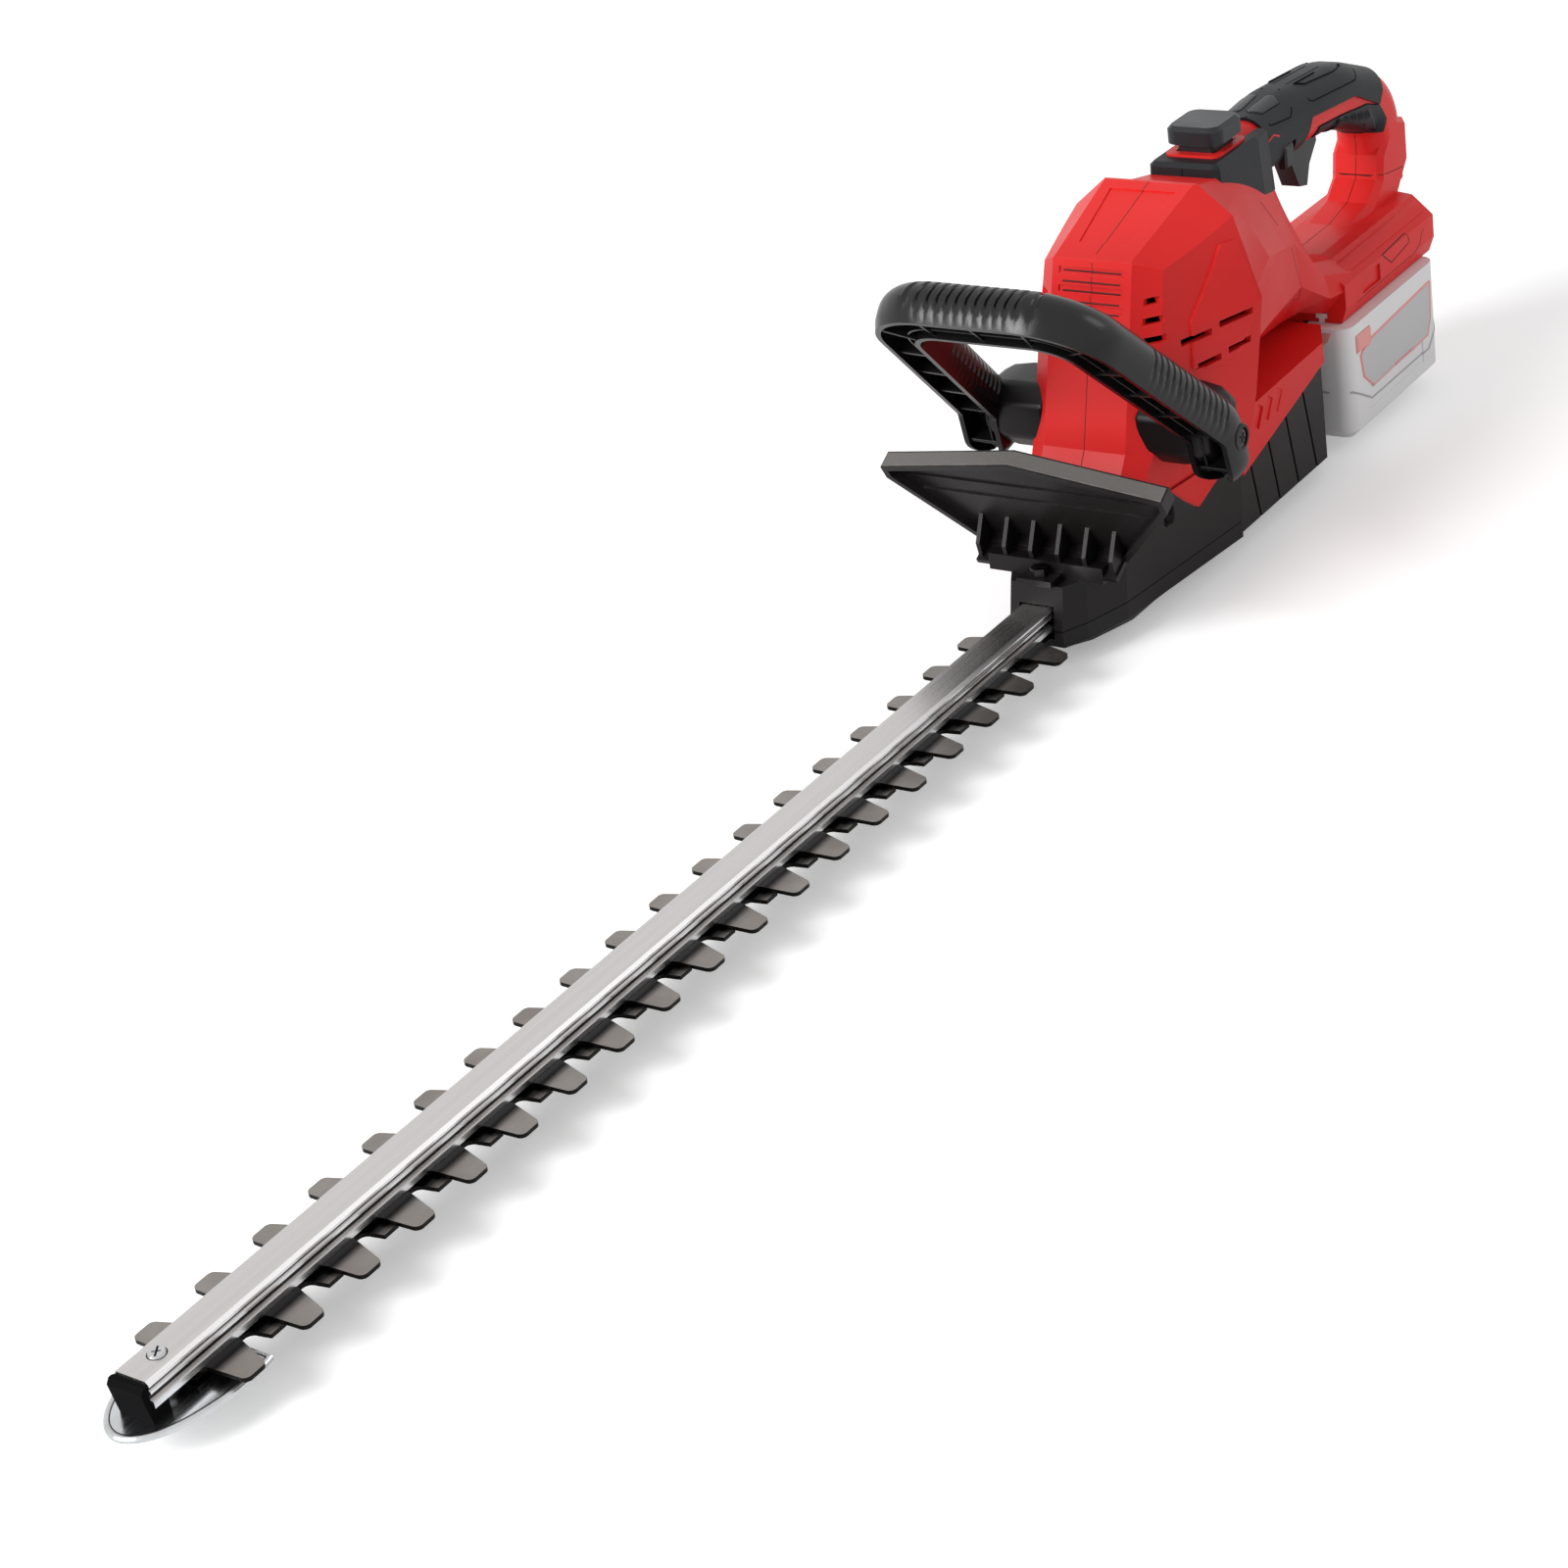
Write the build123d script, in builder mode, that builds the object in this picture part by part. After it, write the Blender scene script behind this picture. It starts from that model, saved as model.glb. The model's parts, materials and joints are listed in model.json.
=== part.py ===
from build123d import *
import math
import os

# Cordless hedge trimmer. Millimetres. +X points to the blade tip, +Y to the tool's left, +Z up.
# The origin is on the flat underside of the gear case, below the axis of the drive gear.

os.makedirs("parts", exist_ok=True)

# ---- driving dimensions -------------------------------------------------------------------
slip = 0.3              # gap between pieces that move past each other
seat = 0.1              # gap between flat faces that slide or bear
wall = 2.5              # moulded housing wall

# cutter
tooth_pitch = 30.0
tooth_count = 19
first_tooth_x = 80.0
blade_thickness = 1.8
lower_blade_z = 16.2
spine_half = 7.0
spine_overrun = 12.0
lobe_reach = 27.0
lobe_root = 16.0
lobe_tip = 10.0
lobe_rake = 2.5         # the lobes lean towards the tip
lower_tooth_count = 18
lower_tooth_reach = 16.0
lower_tooth_root = 9.5
lower_tooth_tip = 7.5
lower_tooth_lead = 10.0
tooth_corner = 2.8
gullet_radius = 3.5
bolt_count = 6
bolt_end_margin = 52.0  # last bolt to the end of the guide bar
first_bolt_x = 100.0
bolt_radius = 2.9
bolt_head_radius = 5.0
bolt_head_height = 2.6
washer_thickness = 0.6
washer_radius = 5.6

# drive
stroke = 6.0            # each blade moves this far either way
crank_swing = 60.0      # degrees of gear travel either way
eccentricity = 6.55
yoke_play = 0.45        # opened yoke slot, each side of the cam
yoke_wall = 4.0
shaft_radius = 3.0
gear_teeth = 38
pinion_teeth = 8
module = 1.25
gear_z = 23.0
gear_thickness = 6.0
bearing_radius = 8.0
bearing_height = 5.0
deck_z = 31.2           # underside of the gearbox deck plate
deck_thickness = 4.0
motor_radius = 19.0
motor_height = 58.0
motor_shaft_radius = 2.0
fan_radius = 17.0
fan_height = 7.0
fan_blades = 9

# guide bar and tip
bar_start_x = 32.0
bar_end_x = 652.0
bar_half = 8.5
bar_height = 10.7
bar_channel_half = 3.5
bar_channel_depth = 3.0
bar_screw_xs = [38.0, 48.0]
bar_screw_radius = 2.0
tip_plate_half = 22.0
tip_plate_front = 13.0      # skid plate ahead of the bar end
tip_plate_radius_x = 42.0
tip_plate_length = 56.0
tip_plate_thickness = 1.8
tip_screw_back = 13.0       # tip screw behind the bar end
tip_screw_radius = 2.0
tip_screw_head_radius = 3.4
tip_block_back = 6.5
tip_cap = 4.0
tip_tongue_back = 22.0

# gear case: half outlines as (x, half width)
parting_z = 20.0
keel_z = 12.0
case_rear_x = -70.0
case_top_z = 60.0
keel_outline = [(36, 3), (28, 9), (4, 17), (case_rear_x, 18)]
case_outline = [(60, 14), (48, 20), (24, 27.5), (case_rear_x, 38)]
case_top_outline = [(52, 13), (42, 19), (20, 28.5), (case_rear_x, 40)]
nose_top_z = 40.5
nose_rise_z = 46.0
case_screw_x = -10.0
case_screw_z = 49.0
case_screw_y = 29.5
guard_screw_x = 52.0
guard_screw_radius = 2.0

# body
body_front_x = 8.0
body_rear_x = -80.0
body_top_z = 184.0
brow_z = 168.0
brow_x = -24.0
ridge_half = 24.0       # flat of the roof at the rear rim
eave_half = 41.0        # lower edge of the roof's side facet at the rear rim
eave_z = 170.0
flare_outline = [(19, 21), (10, 29), (body_rear_x, 41)]
dome_foot_z = 84.0
dome_foot_outline = [(3, 21.5), (-6, 32), (body_rear_x, 46)]
dome_waist_z = 131.0
dome_waist_outline = [(-11, 21), (-21, 32), (body_rear_x, 53)]
dome_brow_outline = [(brow_x - 4, 20), (brow_x - 16, 30), (body_rear_x, 35)]
panel_depth = 1.2
turntable_z = 135.0
hub_radius = 30.0
hub_bore = 24.0
hub_flange_radius = 36.0
tail_rear_x = -185.0
tail_shelf_z = 74.0
tail_edge_front_z = 44.0
tail_edge_rear_z = 64.0
tail_outline = [(case_rear_x - seat, 35.5), (-165, 36), (tail_rear_x, 25)]
tail_keel_outline = [(case_rear_x - seat, 17), (-160, 18), (-176, 13)]
skirt_outline = [(case_rear_x - seat, 41), (-164, 38.5), (tail_rear_x, 27)]

# rear handle
handle_front_x = body_rear_x - 0.6
grip_width = 32.0
grip_height = 33.0
cover_thickness = 1.6
foot_half = 33.0
foot_bottom_z = 68.0
foot_top_z = 99.0
foot_rear_x = -306.0
foot_front_x = -202.0
button_travel = 4.0
button_size = 29.0
button_x = -134.0
trigger_pivot = (-206.0, 163.0)

# battery pack
cell_count = 5          # cells in a row
cell_radius = 9.0
cell_length = 65.0
cell_room = 8.0         # free length beside the cells
pack_length = 2 * (cell_count * (cell_radius + 0.1) + wall) + cell_room
pack_rear_x = foot_rear_x + 8
pack_front_x = pack_rear_x + pack_length
pack_half = 37.0
pack_bottom_z = 8.0
pack_split_z = 40.0

# bail handle and guard
bail_top = (77.0, 184.0)
bail_top_half = 46.0
bail_mount = (-22.0, 92.0)
bail_mount_half = 61.0
bail_depth = 27.0
bail_width = 25.0
bail_wall = 3.0
bail_screw_radius = 2.5
guard_thickness = 3.0
guard_half = 73.0


def save(piece, name):
    piece.part.label = name
    export_step(piece.part, f"parts/{name}.step")


def both_sides(half_outline):
    return half_outline + [(x, -y) for x, y in reversed(half_outline)]


def faceted(levels, shrink=0.0):
    # a moulded form with flat facets between mirrored outlines at several heights
    with BuildPart() as form:
        for z, half_outline in levels:
            with BuildSketch(Plane.XY.offset(z)):
                Polygon(*both_sides(half_outline), align=None)
                if shrink:
                    offset(amount=-shrink, kind=Kind.INTERSECTION)
        loft(ruled=True)
    return form.part


def side_prism(points, half_width, y_centre=0.0):
    # a side view outline in X and Z, extruded evenly across Y
    with BuildPart() as prism:
        with BuildSketch(Plane.XZ.offset(-y_centre)):
            Polygon(*points, align=None)
        extrude(amount=half_width, both=True)
    return prism.part


# ---- cutter blades ------------------------------------------------------------------------
upper_blade_z = lower_blade_z + blade_thickness + 0.2
tooth_xs = [first_tooth_x + tooth_pitch * i for i in range(tooth_count)]
bolt_spacing = (bar_end_x - bolt_end_margin - first_bolt_x) / (bolt_count - 1)
bolt_xs = [first_bolt_x + bolt_spacing * i for i in range(bolt_count)]
cam_radius = eccentricity + shaft_radius + 1.5
yoke_bore = cam_radius + yoke_play
yoke_half_x = yoke_bore + yoke_wall
yoke_half_y = eccentricity + yoke_bore + yoke_wall
spine_end_x = first_tooth_x + tooth_pitch * (tooth_count - 1) + spine_overrun
slot_length = 2 * (bolt_radius + stroke + slip)


def blade_blank(z, tooth, places):
    # toothed comb with a yoke frame round the cam and slots for the shoulder bolts
    with BuildPart() as blade:
        with BuildSketch(Plane.XY.offset(z)):
            with Locations(((yoke_half_x + spine_end_x) / 2 - 2, 0)):
                Rectangle(spine_end_x - yoke_half_x + 4, 2 * spine_half)
            with Locations(*[(x, 0) for x in places]):
                add(tooth)
            RectangleRounded(2 * yoke_half_x, 2 * yoke_half_y, 6)
            SlotCenterToCenter(2 * eccentricity, 2 * yoke_bore, rotation=90, mode=Mode.SUBTRACT)
            with Locations(*[(x, 0) for x in bolt_xs]):
                SlotOverall(slot_length, 2 * (bolt_radius + slip), mode=Mode.SUBTRACT)
        extrude(amount=blade_thickness)
    return blade


def tooth_profile(root, tip, reach, rake, corner):
    # one tooth to each side of the spine: round gullets at the root, sides that lean to the tip
    bend = gullet_radius * (1 - math.sqrt(0.5))
    root_y = spine_half + gullet_radius
    with BuildSketch() as tooth:
        with BuildLine():
            Polyline((-root / 2 - gullet_radius, spine_half), (-root / 2 - gullet_radius, 0))
            Line((-root / 2 - gullet_radius, 0), (root / 2 + gullet_radius, 0))
            Line((root / 2 + gullet_radius, 0), (root / 2 + gullet_radius, spine_half))
            ThreePointArc((root / 2 + gullet_radius, spine_half), (root / 2 + bend, spine_half + bend), (root / 2, root_y))
            Polyline((root / 2, root_y), (rake + tip / 2, reach), (rake - tip / 2, reach), (-root / 2, root_y))
            ThreePointArc((-root / 2, root_y), (-root / 2 - bend, spine_half + bend), (-root / 2 - gullet_radius, spine_half))
        make_face()
        if corner:
            fillet(tooth.vertices().group_by(Axis.Y)[-1], corner)
        mirror(about=Plane.XZ)
    return tooth.sketch


# long rounded lobes above, shorter square-ended teeth below
lobe = tooth_profile(lobe_root, lobe_tip, lobe_reach, lobe_rake, tooth_corner)
lower_tooth = tooth_profile(lower_tooth_root, lower_tooth_tip, lower_tooth_reach, 0, 0)

upper_blade = blade_blank(upper_blade_z, lobe, tooth_xs)
save(upper_blade, "upper_blade")
lower_blade = blade_blank(lower_blade_z, lower_tooth, [x + lower_tooth_lead for x in tooth_xs[:lower_tooth_count]])
save(lower_blade, "lower_blade")

# ---- guide bar: channelled extrusion over the blades -------------------------------------------
bar_z = upper_blade_z + blade_thickness + seat
bar_top_z = bar_z + bar_height
tip_screw_x = bar_end_x - tip_screw_back

with BuildPart() as guide_bar:
    with BuildSketch(Plane.YZ.offset(bar_start_x)) as bar_section:
        with BuildLine():
            Polyline(
                (bar_channel_half, 0),
                (bar_half, 0),
                (bar_half, 2.4),
                (bar_half - 1.6, 3.2),
                (bar_half - 1.6, 5.0),
                (bar_half - 0.2, 5.8),
                (bar_half - 0.2, 6.8),
                (bar_half - 1.0, 7.3),
                (bar_half - 1.0, 8.0),
                (bar_half - 0.3, 8.5),
                (bar_half - 0.3, bar_height - 1.2),
                (bar_half - 1.6, bar_height),
                (0, bar_height),
                (0, bar_channel_depth),
                (bar_channel_half, bar_channel_depth),
                close=True,
            )
        make_face()
        mirror(about=Plane.YZ)
    extrude(amount=bar_end_x - bar_start_x)
    with Locations(*[(x, 0, bar_channel_depth) for x in bolt_xs]):
        Cylinder(bolt_radius, 4.0, align=(Align.CENTER, Align.CENTER, Align.MIN), mode=Mode.SUBTRACT)
    with Locations(*[(x, 0, bar_channel_depth + 2) for x in bar_screw_xs]):
        Cylinder(bar_screw_radius, bar_height, align=(Align.CENTER, Align.CENTER, Align.MIN), mode=Mode.SUBTRACT)
    with Locations((tip_screw_x, 0, 0)):
        Cylinder(tip_screw_radius, bar_height, align=(Align.CENTER, Align.CENTER, Align.MIN), mode=Mode.SUBTRACT)
guide_bar.part = Pos(0, 0, bar_z) * guide_bar.part
save(guide_bar, "guide_bar")

# ---- blade bolts and washers, from below ---------------------------------------------------------
washer_z = lower_blade_z - seat - washer_thickness
bolt_head_z = washer_z - bolt_head_height
bolt_length = bar_z + bar_channel_depth + 4.0 - bolt_head_z

with BuildPart() as blade_bolts:
    with Locations(*[(x, 0, bolt_head_z) for x in bolt_xs]):
        Cylinder(bolt_radius, bolt_length, align=(Align.CENTER, Align.CENTER, Align.MIN))
        Cylinder(bolt_head_radius, bolt_head_height, align=(Align.CENTER, Align.CENTER, Align.MIN))
save(blade_bolts, "blade_bolts")

with BuildPart() as blade_washers:
    with Locations(*[(x, 0, washer_z) for x in bolt_xs]):
        Cylinder(washer_radius, washer_thickness, align=(Align.CENTER, Align.CENTER, Align.MIN))
        Cylinder(bolt_radius, washer_thickness, align=(Align.CENTER, Align.CENTER, Align.MIN), mode=Mode.SUBTRACT)
save(blade_washers, "blade_washers")

# ---- tip: nose block, skid plate and screw ------------------------------------------------------
tip_plate_z = lower_blade_z - 3.2
tip_block_z = tip_plate_z + tip_plate_thickness
tip_block_half = bar_half - 0.5

with BuildPart() as tip_block:
    with BuildSketch(Plane.XZ):
        Polygon(
            (bar_end_x - tip_block_back, tip_block_z),
            (bar_end_x + tip_cap / 2, tip_block_z),
            (bar_end_x + tip_cap, bar_top_z - 3.0),
            (bar_end_x + tip_cap - 1.5, bar_top_z - 1.0),
            (bar_end_x, bar_top_z - 1.0),
            (bar_end_x, bar_z),
            (bar_end_x - tip_block_back, bar_z),
            align=None,
        )
    extrude(amount=tip_block_half, both=True)
    chamfer(tip_block.edges().filter_by(Axis.Z).group_by(Axis.X)[-1], 1.0)
    # tongue in the channel of the bar, held by the tip screw
    with Locations((bar_end_x - tip_tongue_back, 0, bar_z + seat)):
        Box(
            tip_tongue_back, 2 * (bar_channel_half - seat), bar_channel_depth - 2 * seat,
            align=(Align.MIN, Align.CENTER, Align.MIN),
        )
    with Locations((tip_screw_x, 0, bar_z)):
        Cylinder(tip_screw_radius, bar_height, mode=Mode.SUBTRACT)
save(tip_block, "tip_block")

with BuildPart() as tip_plate:
    with BuildSketch(Plane.XY.offset(tip_plate_z)):
        with Locations((bar_end_x + tip_plate_front - tip_plate_radius_x, 0)):
            Ellipse(tip_plate_radius_x, tip_plate_half)
        with Locations((bar_end_x + tip_plate_front - tip_plate_length - 100, 0)):
            Rectangle(200, 200, mode=Mode.SUBTRACT)
    extrude(amount=tip_plate_thickness)
    chamfer(tip_plate.faces().sort_by(Axis.Z)[-1].outer_wire().edges(), 0.5)
save(tip_plate, "tip_plate")

with BuildPart() as tip_screw:
    with Locations((tip_screw_x, 0, bar_z + seat)):
        Cylinder(tip_screw_radius, bar_height - seat, align=(Align.CENTER, Align.CENTER, Align.MIN))
    with BuildSketch(Plane.XY.offset(bar_top_z)):
        with Locations((tip_screw_x, 0)):
            Circle(tip_screw_head_radius)
    extrude(amount=1.0, taper=20)
    with BuildSketch(Plane.XY.offset(bar_top_z + 1.0)):
        with Locations((tip_screw_x, 0)):
            Rectangle(3.4, 0.8, rotation=35)
            Rectangle(3.4, 0.8, rotation=125)
    extrude(amount=-0.7, mode=Mode.SUBTRACT)
save(tip_screw, "tip_screw")

# ---- drive gear, cams, shaft and bearings -------------------------------------------------------
gear_pitch_radius = module * gear_teeth / 2
pinion_pitch_radius = module * pinion_teeth / 2
motor_x = -(gear_pitch_radius + pinion_pitch_radius)
bearing_floor_z = 4.0
deck_top_z = deck_z + deck_thickness


def toothed_disc(teeth, z, thickness, bore, phase, web_holes=0):
    # straight-flanked spur teeth with running backlash
    pitch_radius = module * teeth / 2
    root_radius = pitch_radius - 1.3 * module
    outer_radius = pitch_radius + 0.8 * module
    root_half = 0.36 * math.pi * module * root_radius / pitch_radius
    tip_half = 0.16 * math.pi * module
    with BuildPart() as disc:
        with BuildSketch(Plane.XY.offset(z)):
            Circle(root_radius)
            with PolarLocations(0, teeth, start_angle=phase):
                Polygon(
                    (root_radius - 0.6, -root_half),
                    (outer_radius, -tip_half),
                    (outer_radius, tip_half),
                    (root_radius - 0.6, root_half),
                    align=None,
                )
            Circle(bore, mode=Mode.SUBTRACT)
            if web_holes:
                with PolarLocations((bore + root_radius) / 2, web_holes):
                    Circle((root_radius - bore) / 4.5, mode=Mode.SUBTRACT)
        extrude(amount=thickness)
    return disc


drive_gear = toothed_disc(gear_teeth, gear_z, gear_thickness, shaft_radius, 0, 6)
save(drive_gear, "drive_gear")


def cam(z, height, side):
    # eccentric disc keyed to the gear shaft, its centre on the given side of the axis
    with BuildPart() as disc:
        with BuildSketch(Plane.XY.offset(z)):
            with Locations((0, side * eccentricity)):
                Circle(cam_radius)
            Circle(shaft_radius, mode=Mode.SUBTRACT)
        extrude(amount=height)
    return disc


upper_cam = cam(upper_blade_z, blade_thickness, 1)
save(upper_cam, "upper_cam")
lower_cam = cam(lower_blade_z, blade_thickness, -1)
save(lower_cam, "lower_cam")

lower_bearing_top_z = bearing_floor_z + bearing_height
spacer_specs = [
    (lower_bearing_top_z + seat, lower_blade_z),
    (lower_blade_z + blade_thickness, upper_blade_z),
    (upper_blade_z + blade_thickness, gear_z),
    (gear_z + gear_thickness, deck_z + seat),
]
with BuildPart() as shaft_spacers:
    for low, high in spacer_specs:
        with BuildSketch(Plane.XY.offset(low)):
            Circle(shaft_radius + 1.5)
            Circle(shaft_radius, mode=Mode.SUBTRACT)
        extrude(amount=high - low)
save(shaft_spacers, "shaft_spacers")

with BuildPart() as gear_shaft:
    with BuildSketch(Plane.XY.offset(bearing_floor_z + 0.5)):
        Circle(shaft_radius)
    extrude(amount=deck_z + bearing_height - bearing_floor_z)
save(gear_shaft, "gear_shaft")


def bearing(z):
    # sealed ball bearing seen as one ring, running on the shaft with a thin film of clearance
    with BuildPart() as ring:
        with BuildSketch(Plane.XY.offset(z)):
            Circle(bearing_radius)
            Circle(shaft_radius + 0.05, mode=Mode.SUBTRACT)
        extrude(amount=bearing_height)
        with BuildSketch(Plane.XY.offset(z + bearing_height)):
            Circle(bearing_radius - 1.2)
            Circle(shaft_radius + 1.4, mode=Mode.SUBTRACT)
        extrude(amount=-0.5, mode=Mode.SUBTRACT)
    return ring


lower_bearing = bearing(bearing_floor_z)
save(lower_bearing, "lower_bearing")
upper_bearing = bearing(deck_z + seat)
save(upper_bearing, "upper_bearing")

# ---- motor, pinion and fan ----------------------------------------------------------------------
motor_z = deck_top_z
motor_top_z = motor_z + motor_height

with BuildPart() as motor_can:
    with BuildSketch(Plane.XY.offset(motor_z)):
        with Locations((motor_x, 0)):
            Circle(motor_radius)
            Circle(motor_shaft_radius + 0.05, mode=Mode.SUBTRACT)
    extrude(amount=motor_height)
    chamfer(motor_can.edges().filter_by(GeomType.CIRCLE).sort_by(SortBy.RADIUS)[-2:], 1.5)
    with BuildSketch(Plane.XY.offset(motor_top_z - 12)):
        with Locations((motor_x, 0)):
            with PolarLocations(motor_radius, 4, start_angle=45):
                Rectangle(5, 9)
    extrude(amount=8, mode=Mode.SUBTRACT)
save(motor_can, "motor_can")

motor_pinion = toothed_disc(pinion_teeth, gear_z - 0.5, gear_thickness + 1, motor_shaft_radius, 180.0 / pinion_teeth)
motor_pinion.part = Pos(motor_x, 0, 0) * motor_pinion.part
save(motor_pinion, "motor_pinion")

with BuildPart() as motor_shaft:
    with BuildSketch(Plane.XY.offset(gear_z - 0.5)):
        with Locations((motor_x, 0)):
            Circle(motor_shaft_radius)
    extrude(amount=motor_top_z + fan_height + 2 - gear_z)
save(motor_shaft, "motor_shaft")

with BuildPart() as motor_fan:
    with BuildSketch(Plane.XY.offset(motor_top_z + 1)):
        with Locations((motor_x, 0)):
            Circle(fan_radius)
            Circle(motor_shaft_radius, mode=Mode.SUBTRACT)
    extrude(amount=1.2)
    with BuildSketch(Plane.XY.offset(motor_top_z + 1)):
        with Locations((motor_x, 0)):
            Circle(4.5)
            Circle(motor_shaft_radius, mode=Mode.SUBTRACT)
            with PolarLocations(10.5, fan_blades):
                Rectangle(12.6, 1.2, rotation=18)
    extrude(amount=fan_height)
save(motor_fan, "motor_fan")

# ---- gearbox deck: cast plate that carries bar, bearing and motor -------------------------------
deck_outline = [(54, 10.5), (46, 15), (20, 23), (case_rear_x + 14, 30)]

with BuildPart() as gearbox_deck:
    with BuildSketch(Plane.XY.offset(deck_z)):
        Polygon(*both_sides(deck_outline), align=None)
        Circle(bearing_radius, mode=Mode.SUBTRACT)
        with Locations((motor_x, 0)):
            Circle(pinion_pitch_radius + 2.0, mode=Mode.SUBTRACT)
        with Locations(*[(x, 0) for x in bar_screw_xs]):
            Circle(bar_screw_radius, mode=Mode.SUBTRACT)
    extrude(amount=deck_thickness)
save(gearbox_deck, "gearbox_deck")

with BuildPart() as bar_screws:
    for x in bar_screw_xs:
        with BuildSketch(Plane.XY.offset(bar_z + bar_channel_depth + 2)):
            with Locations((x, 0)):
                Circle(bar_screw_radius)
        extrude(amount=deck_top_z - bar_z - bar_channel_depth - 2)
        with BuildSketch(Plane.XY.offset(deck_top_z)):
            with Locations((x, 0)):
                Circle(3.6)
                RegularPolygon(1.6, 6, mode=Mode.SUBTRACT)
        extrude(amount=2.0)
save(bar_screws, "bar_screws")

# ---- gear case: lower cover, upper cover --------------------------------------------------------
case_levels = [(0, keel_outline), (keel_z, case_outline), (parting_z, case_outline)]
upper_case_levels = [(parting_z, case_outline), (case_top_z, case_top_outline)]
blade_port_half = bar_half + 0.6
blade_port_low = lower_blade_z - 0.6
blade_port_high = bar_top_z + 0.4


def blade_port(low, high):
    # opening in the nose for the guide bar and both blades
    with BuildPart() as port:
        with BuildSketch(Plane.XY.offset(low)):
            with Locations((60, 0)):
                Rectangle(50, 2 * blade_port_half)
        extrude(amount=high - low)
    return port.part


with BuildPart() as gear_case_lower:
    for pair in (case_levels[:2], case_levels[1:]):
        add(faceted(pair))
    with BuildPart(mode=Mode.PRIVATE) as lower_cavity:
        add(faceted([(wall, keel_outline), (keel_z, case_outline)], wall))
        add(faceted([(keel_z, case_outline), (parting_z, case_outline)], wall))
    add(lower_cavity.part, mode=Mode.SUBTRACT)
    add(blade_port(blade_port_low, parting_z), mode=Mode.SUBTRACT)
    with BuildSketch(Plane.XY.offset(wall)):
        Circle(bearing_radius + 2.5)
    extrude(amount=lower_bearing_top_z - wall - 1)
    with BuildSketch(Plane.XY.offset(bearing_floor_z)):
        Circle(bearing_radius)
    extrude(amount=bearing_height, mode=Mode.SUBTRACT)
    with BuildSketch(Plane.XY.offset(bearing_floor_z)):
        Circle(shaft_radius + 0.5)
    extrude(amount=-0.5, mode=Mode.SUBTRACT)
save(gear_case_lower, "gear_case_lower")

nose_cut = [(75, nose_top_z), (44, nose_top_z), (22, nose_rise_z), (body_front_x + 2, case_top_z), (75, case_top_z + 5)]
nose_cut_inner = [(x, z - wall) for x, z in nose_cut[:-2]] + [(body_front_x, case_top_z - wall), (75, case_top_z + 5)]

with BuildPart() as case_shape:
    add(faceted(upper_case_levels))
    add(side_prism(nose_cut, 60), mode=Mode.SUBTRACT)
case_outer = case_shape.part

with BuildPart() as gear_case_upper:
    add(case_outer)
    with BuildPart(mode=Mode.PRIVATE) as upper_cavity:
        add(faceted(upper_case_levels, wall))
        add(side_prism(nose_cut_inner, 60), mode=Mode.SUBTRACT)
    add(upper_cavity.part, mode=Mode.SUBTRACT)
    add(blade_port(parting_z, blade_port_high), mode=Mode.SUBTRACT)
    for side in (1, -1):
        # screw boss sunk into the side wall
        with Locations((case_screw_x, side * (case_screw_y - 4), case_screw_z)):
            Cylinder(5.4, 8, rotation=(90, 0, 0))
            Cylinder(1.8, 8, rotation=(90, 0, 0), mode=Mode.SUBTRACT)
        with Locations((case_screw_x, side * (case_screw_y + 6), case_screw_z)):
            Cylinder(4.2, 12, rotation=(90, 0, 0), mode=Mode.SUBTRACT)
    with Locations((guard_screw_x, 0, nose_top_z)):
        Cylinder(guard_screw_radius, 3 * wall, mode=Mode.SUBTRACT)
save(gear_case_upper, "gear_case_upper")

# ---- tail cover: treaded black shell under the red skirt ----------------------------------------
tail_top_z = tail_edge_rear_z + 6
tail_levels = [(0, tail_keel_outline), (keel_z, tail_outline), (tail_top_z, tail_outline)]
tread_xs = [-88.0, -108.0, -128.0, -148.0]


def tail_edge_cut(gap):
    # everything above the slanted joint between tail cover and skirt
    rise = (tail_edge_rear_z - tail_edge_front_z) / (-165 - case_rear_x)
    low_x = case_rear_x + 4
    high_x = tail_rear_x - 10
    return [
        (low_x, tail_edge_front_z + gap + rise * (low_x - case_rear_x)),
        (low_x, 120),
        (high_x, 120),
        (high_x, tail_edge_front_z + gap + rise * (high_x - case_rear_x)),
    ]


with BuildPart() as tail_cover:
    for pair in (tail_levels[:2], tail_levels[1:]):
        add(faceted(pair))
    with BuildPart(mode=Mode.PRIVATE) as tail_cavity:
        add(faceted([(wall, tail_keel_outline), (keel_z, tail_outline)], wall))
        add(faceted([(keel_z, tail_outline), (tail_top_z + 1, tail_outline)], wall))
    add(tail_cavity.part, mode=Mode.SUBTRACT)
    add(side_prism(tail_edge_cut(0), 60), mode=Mode.SUBTRACT)
    for x in tread_xs:
        for side in (1, -1):
            with Locations(Pos(x, side * 36.6, 38) * Rot(0, 12, 0)):
                Box(1.6, 4.0, 56, mode=Mode.SUBTRACT)
save(tail_cover, "tail_cover")

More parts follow.
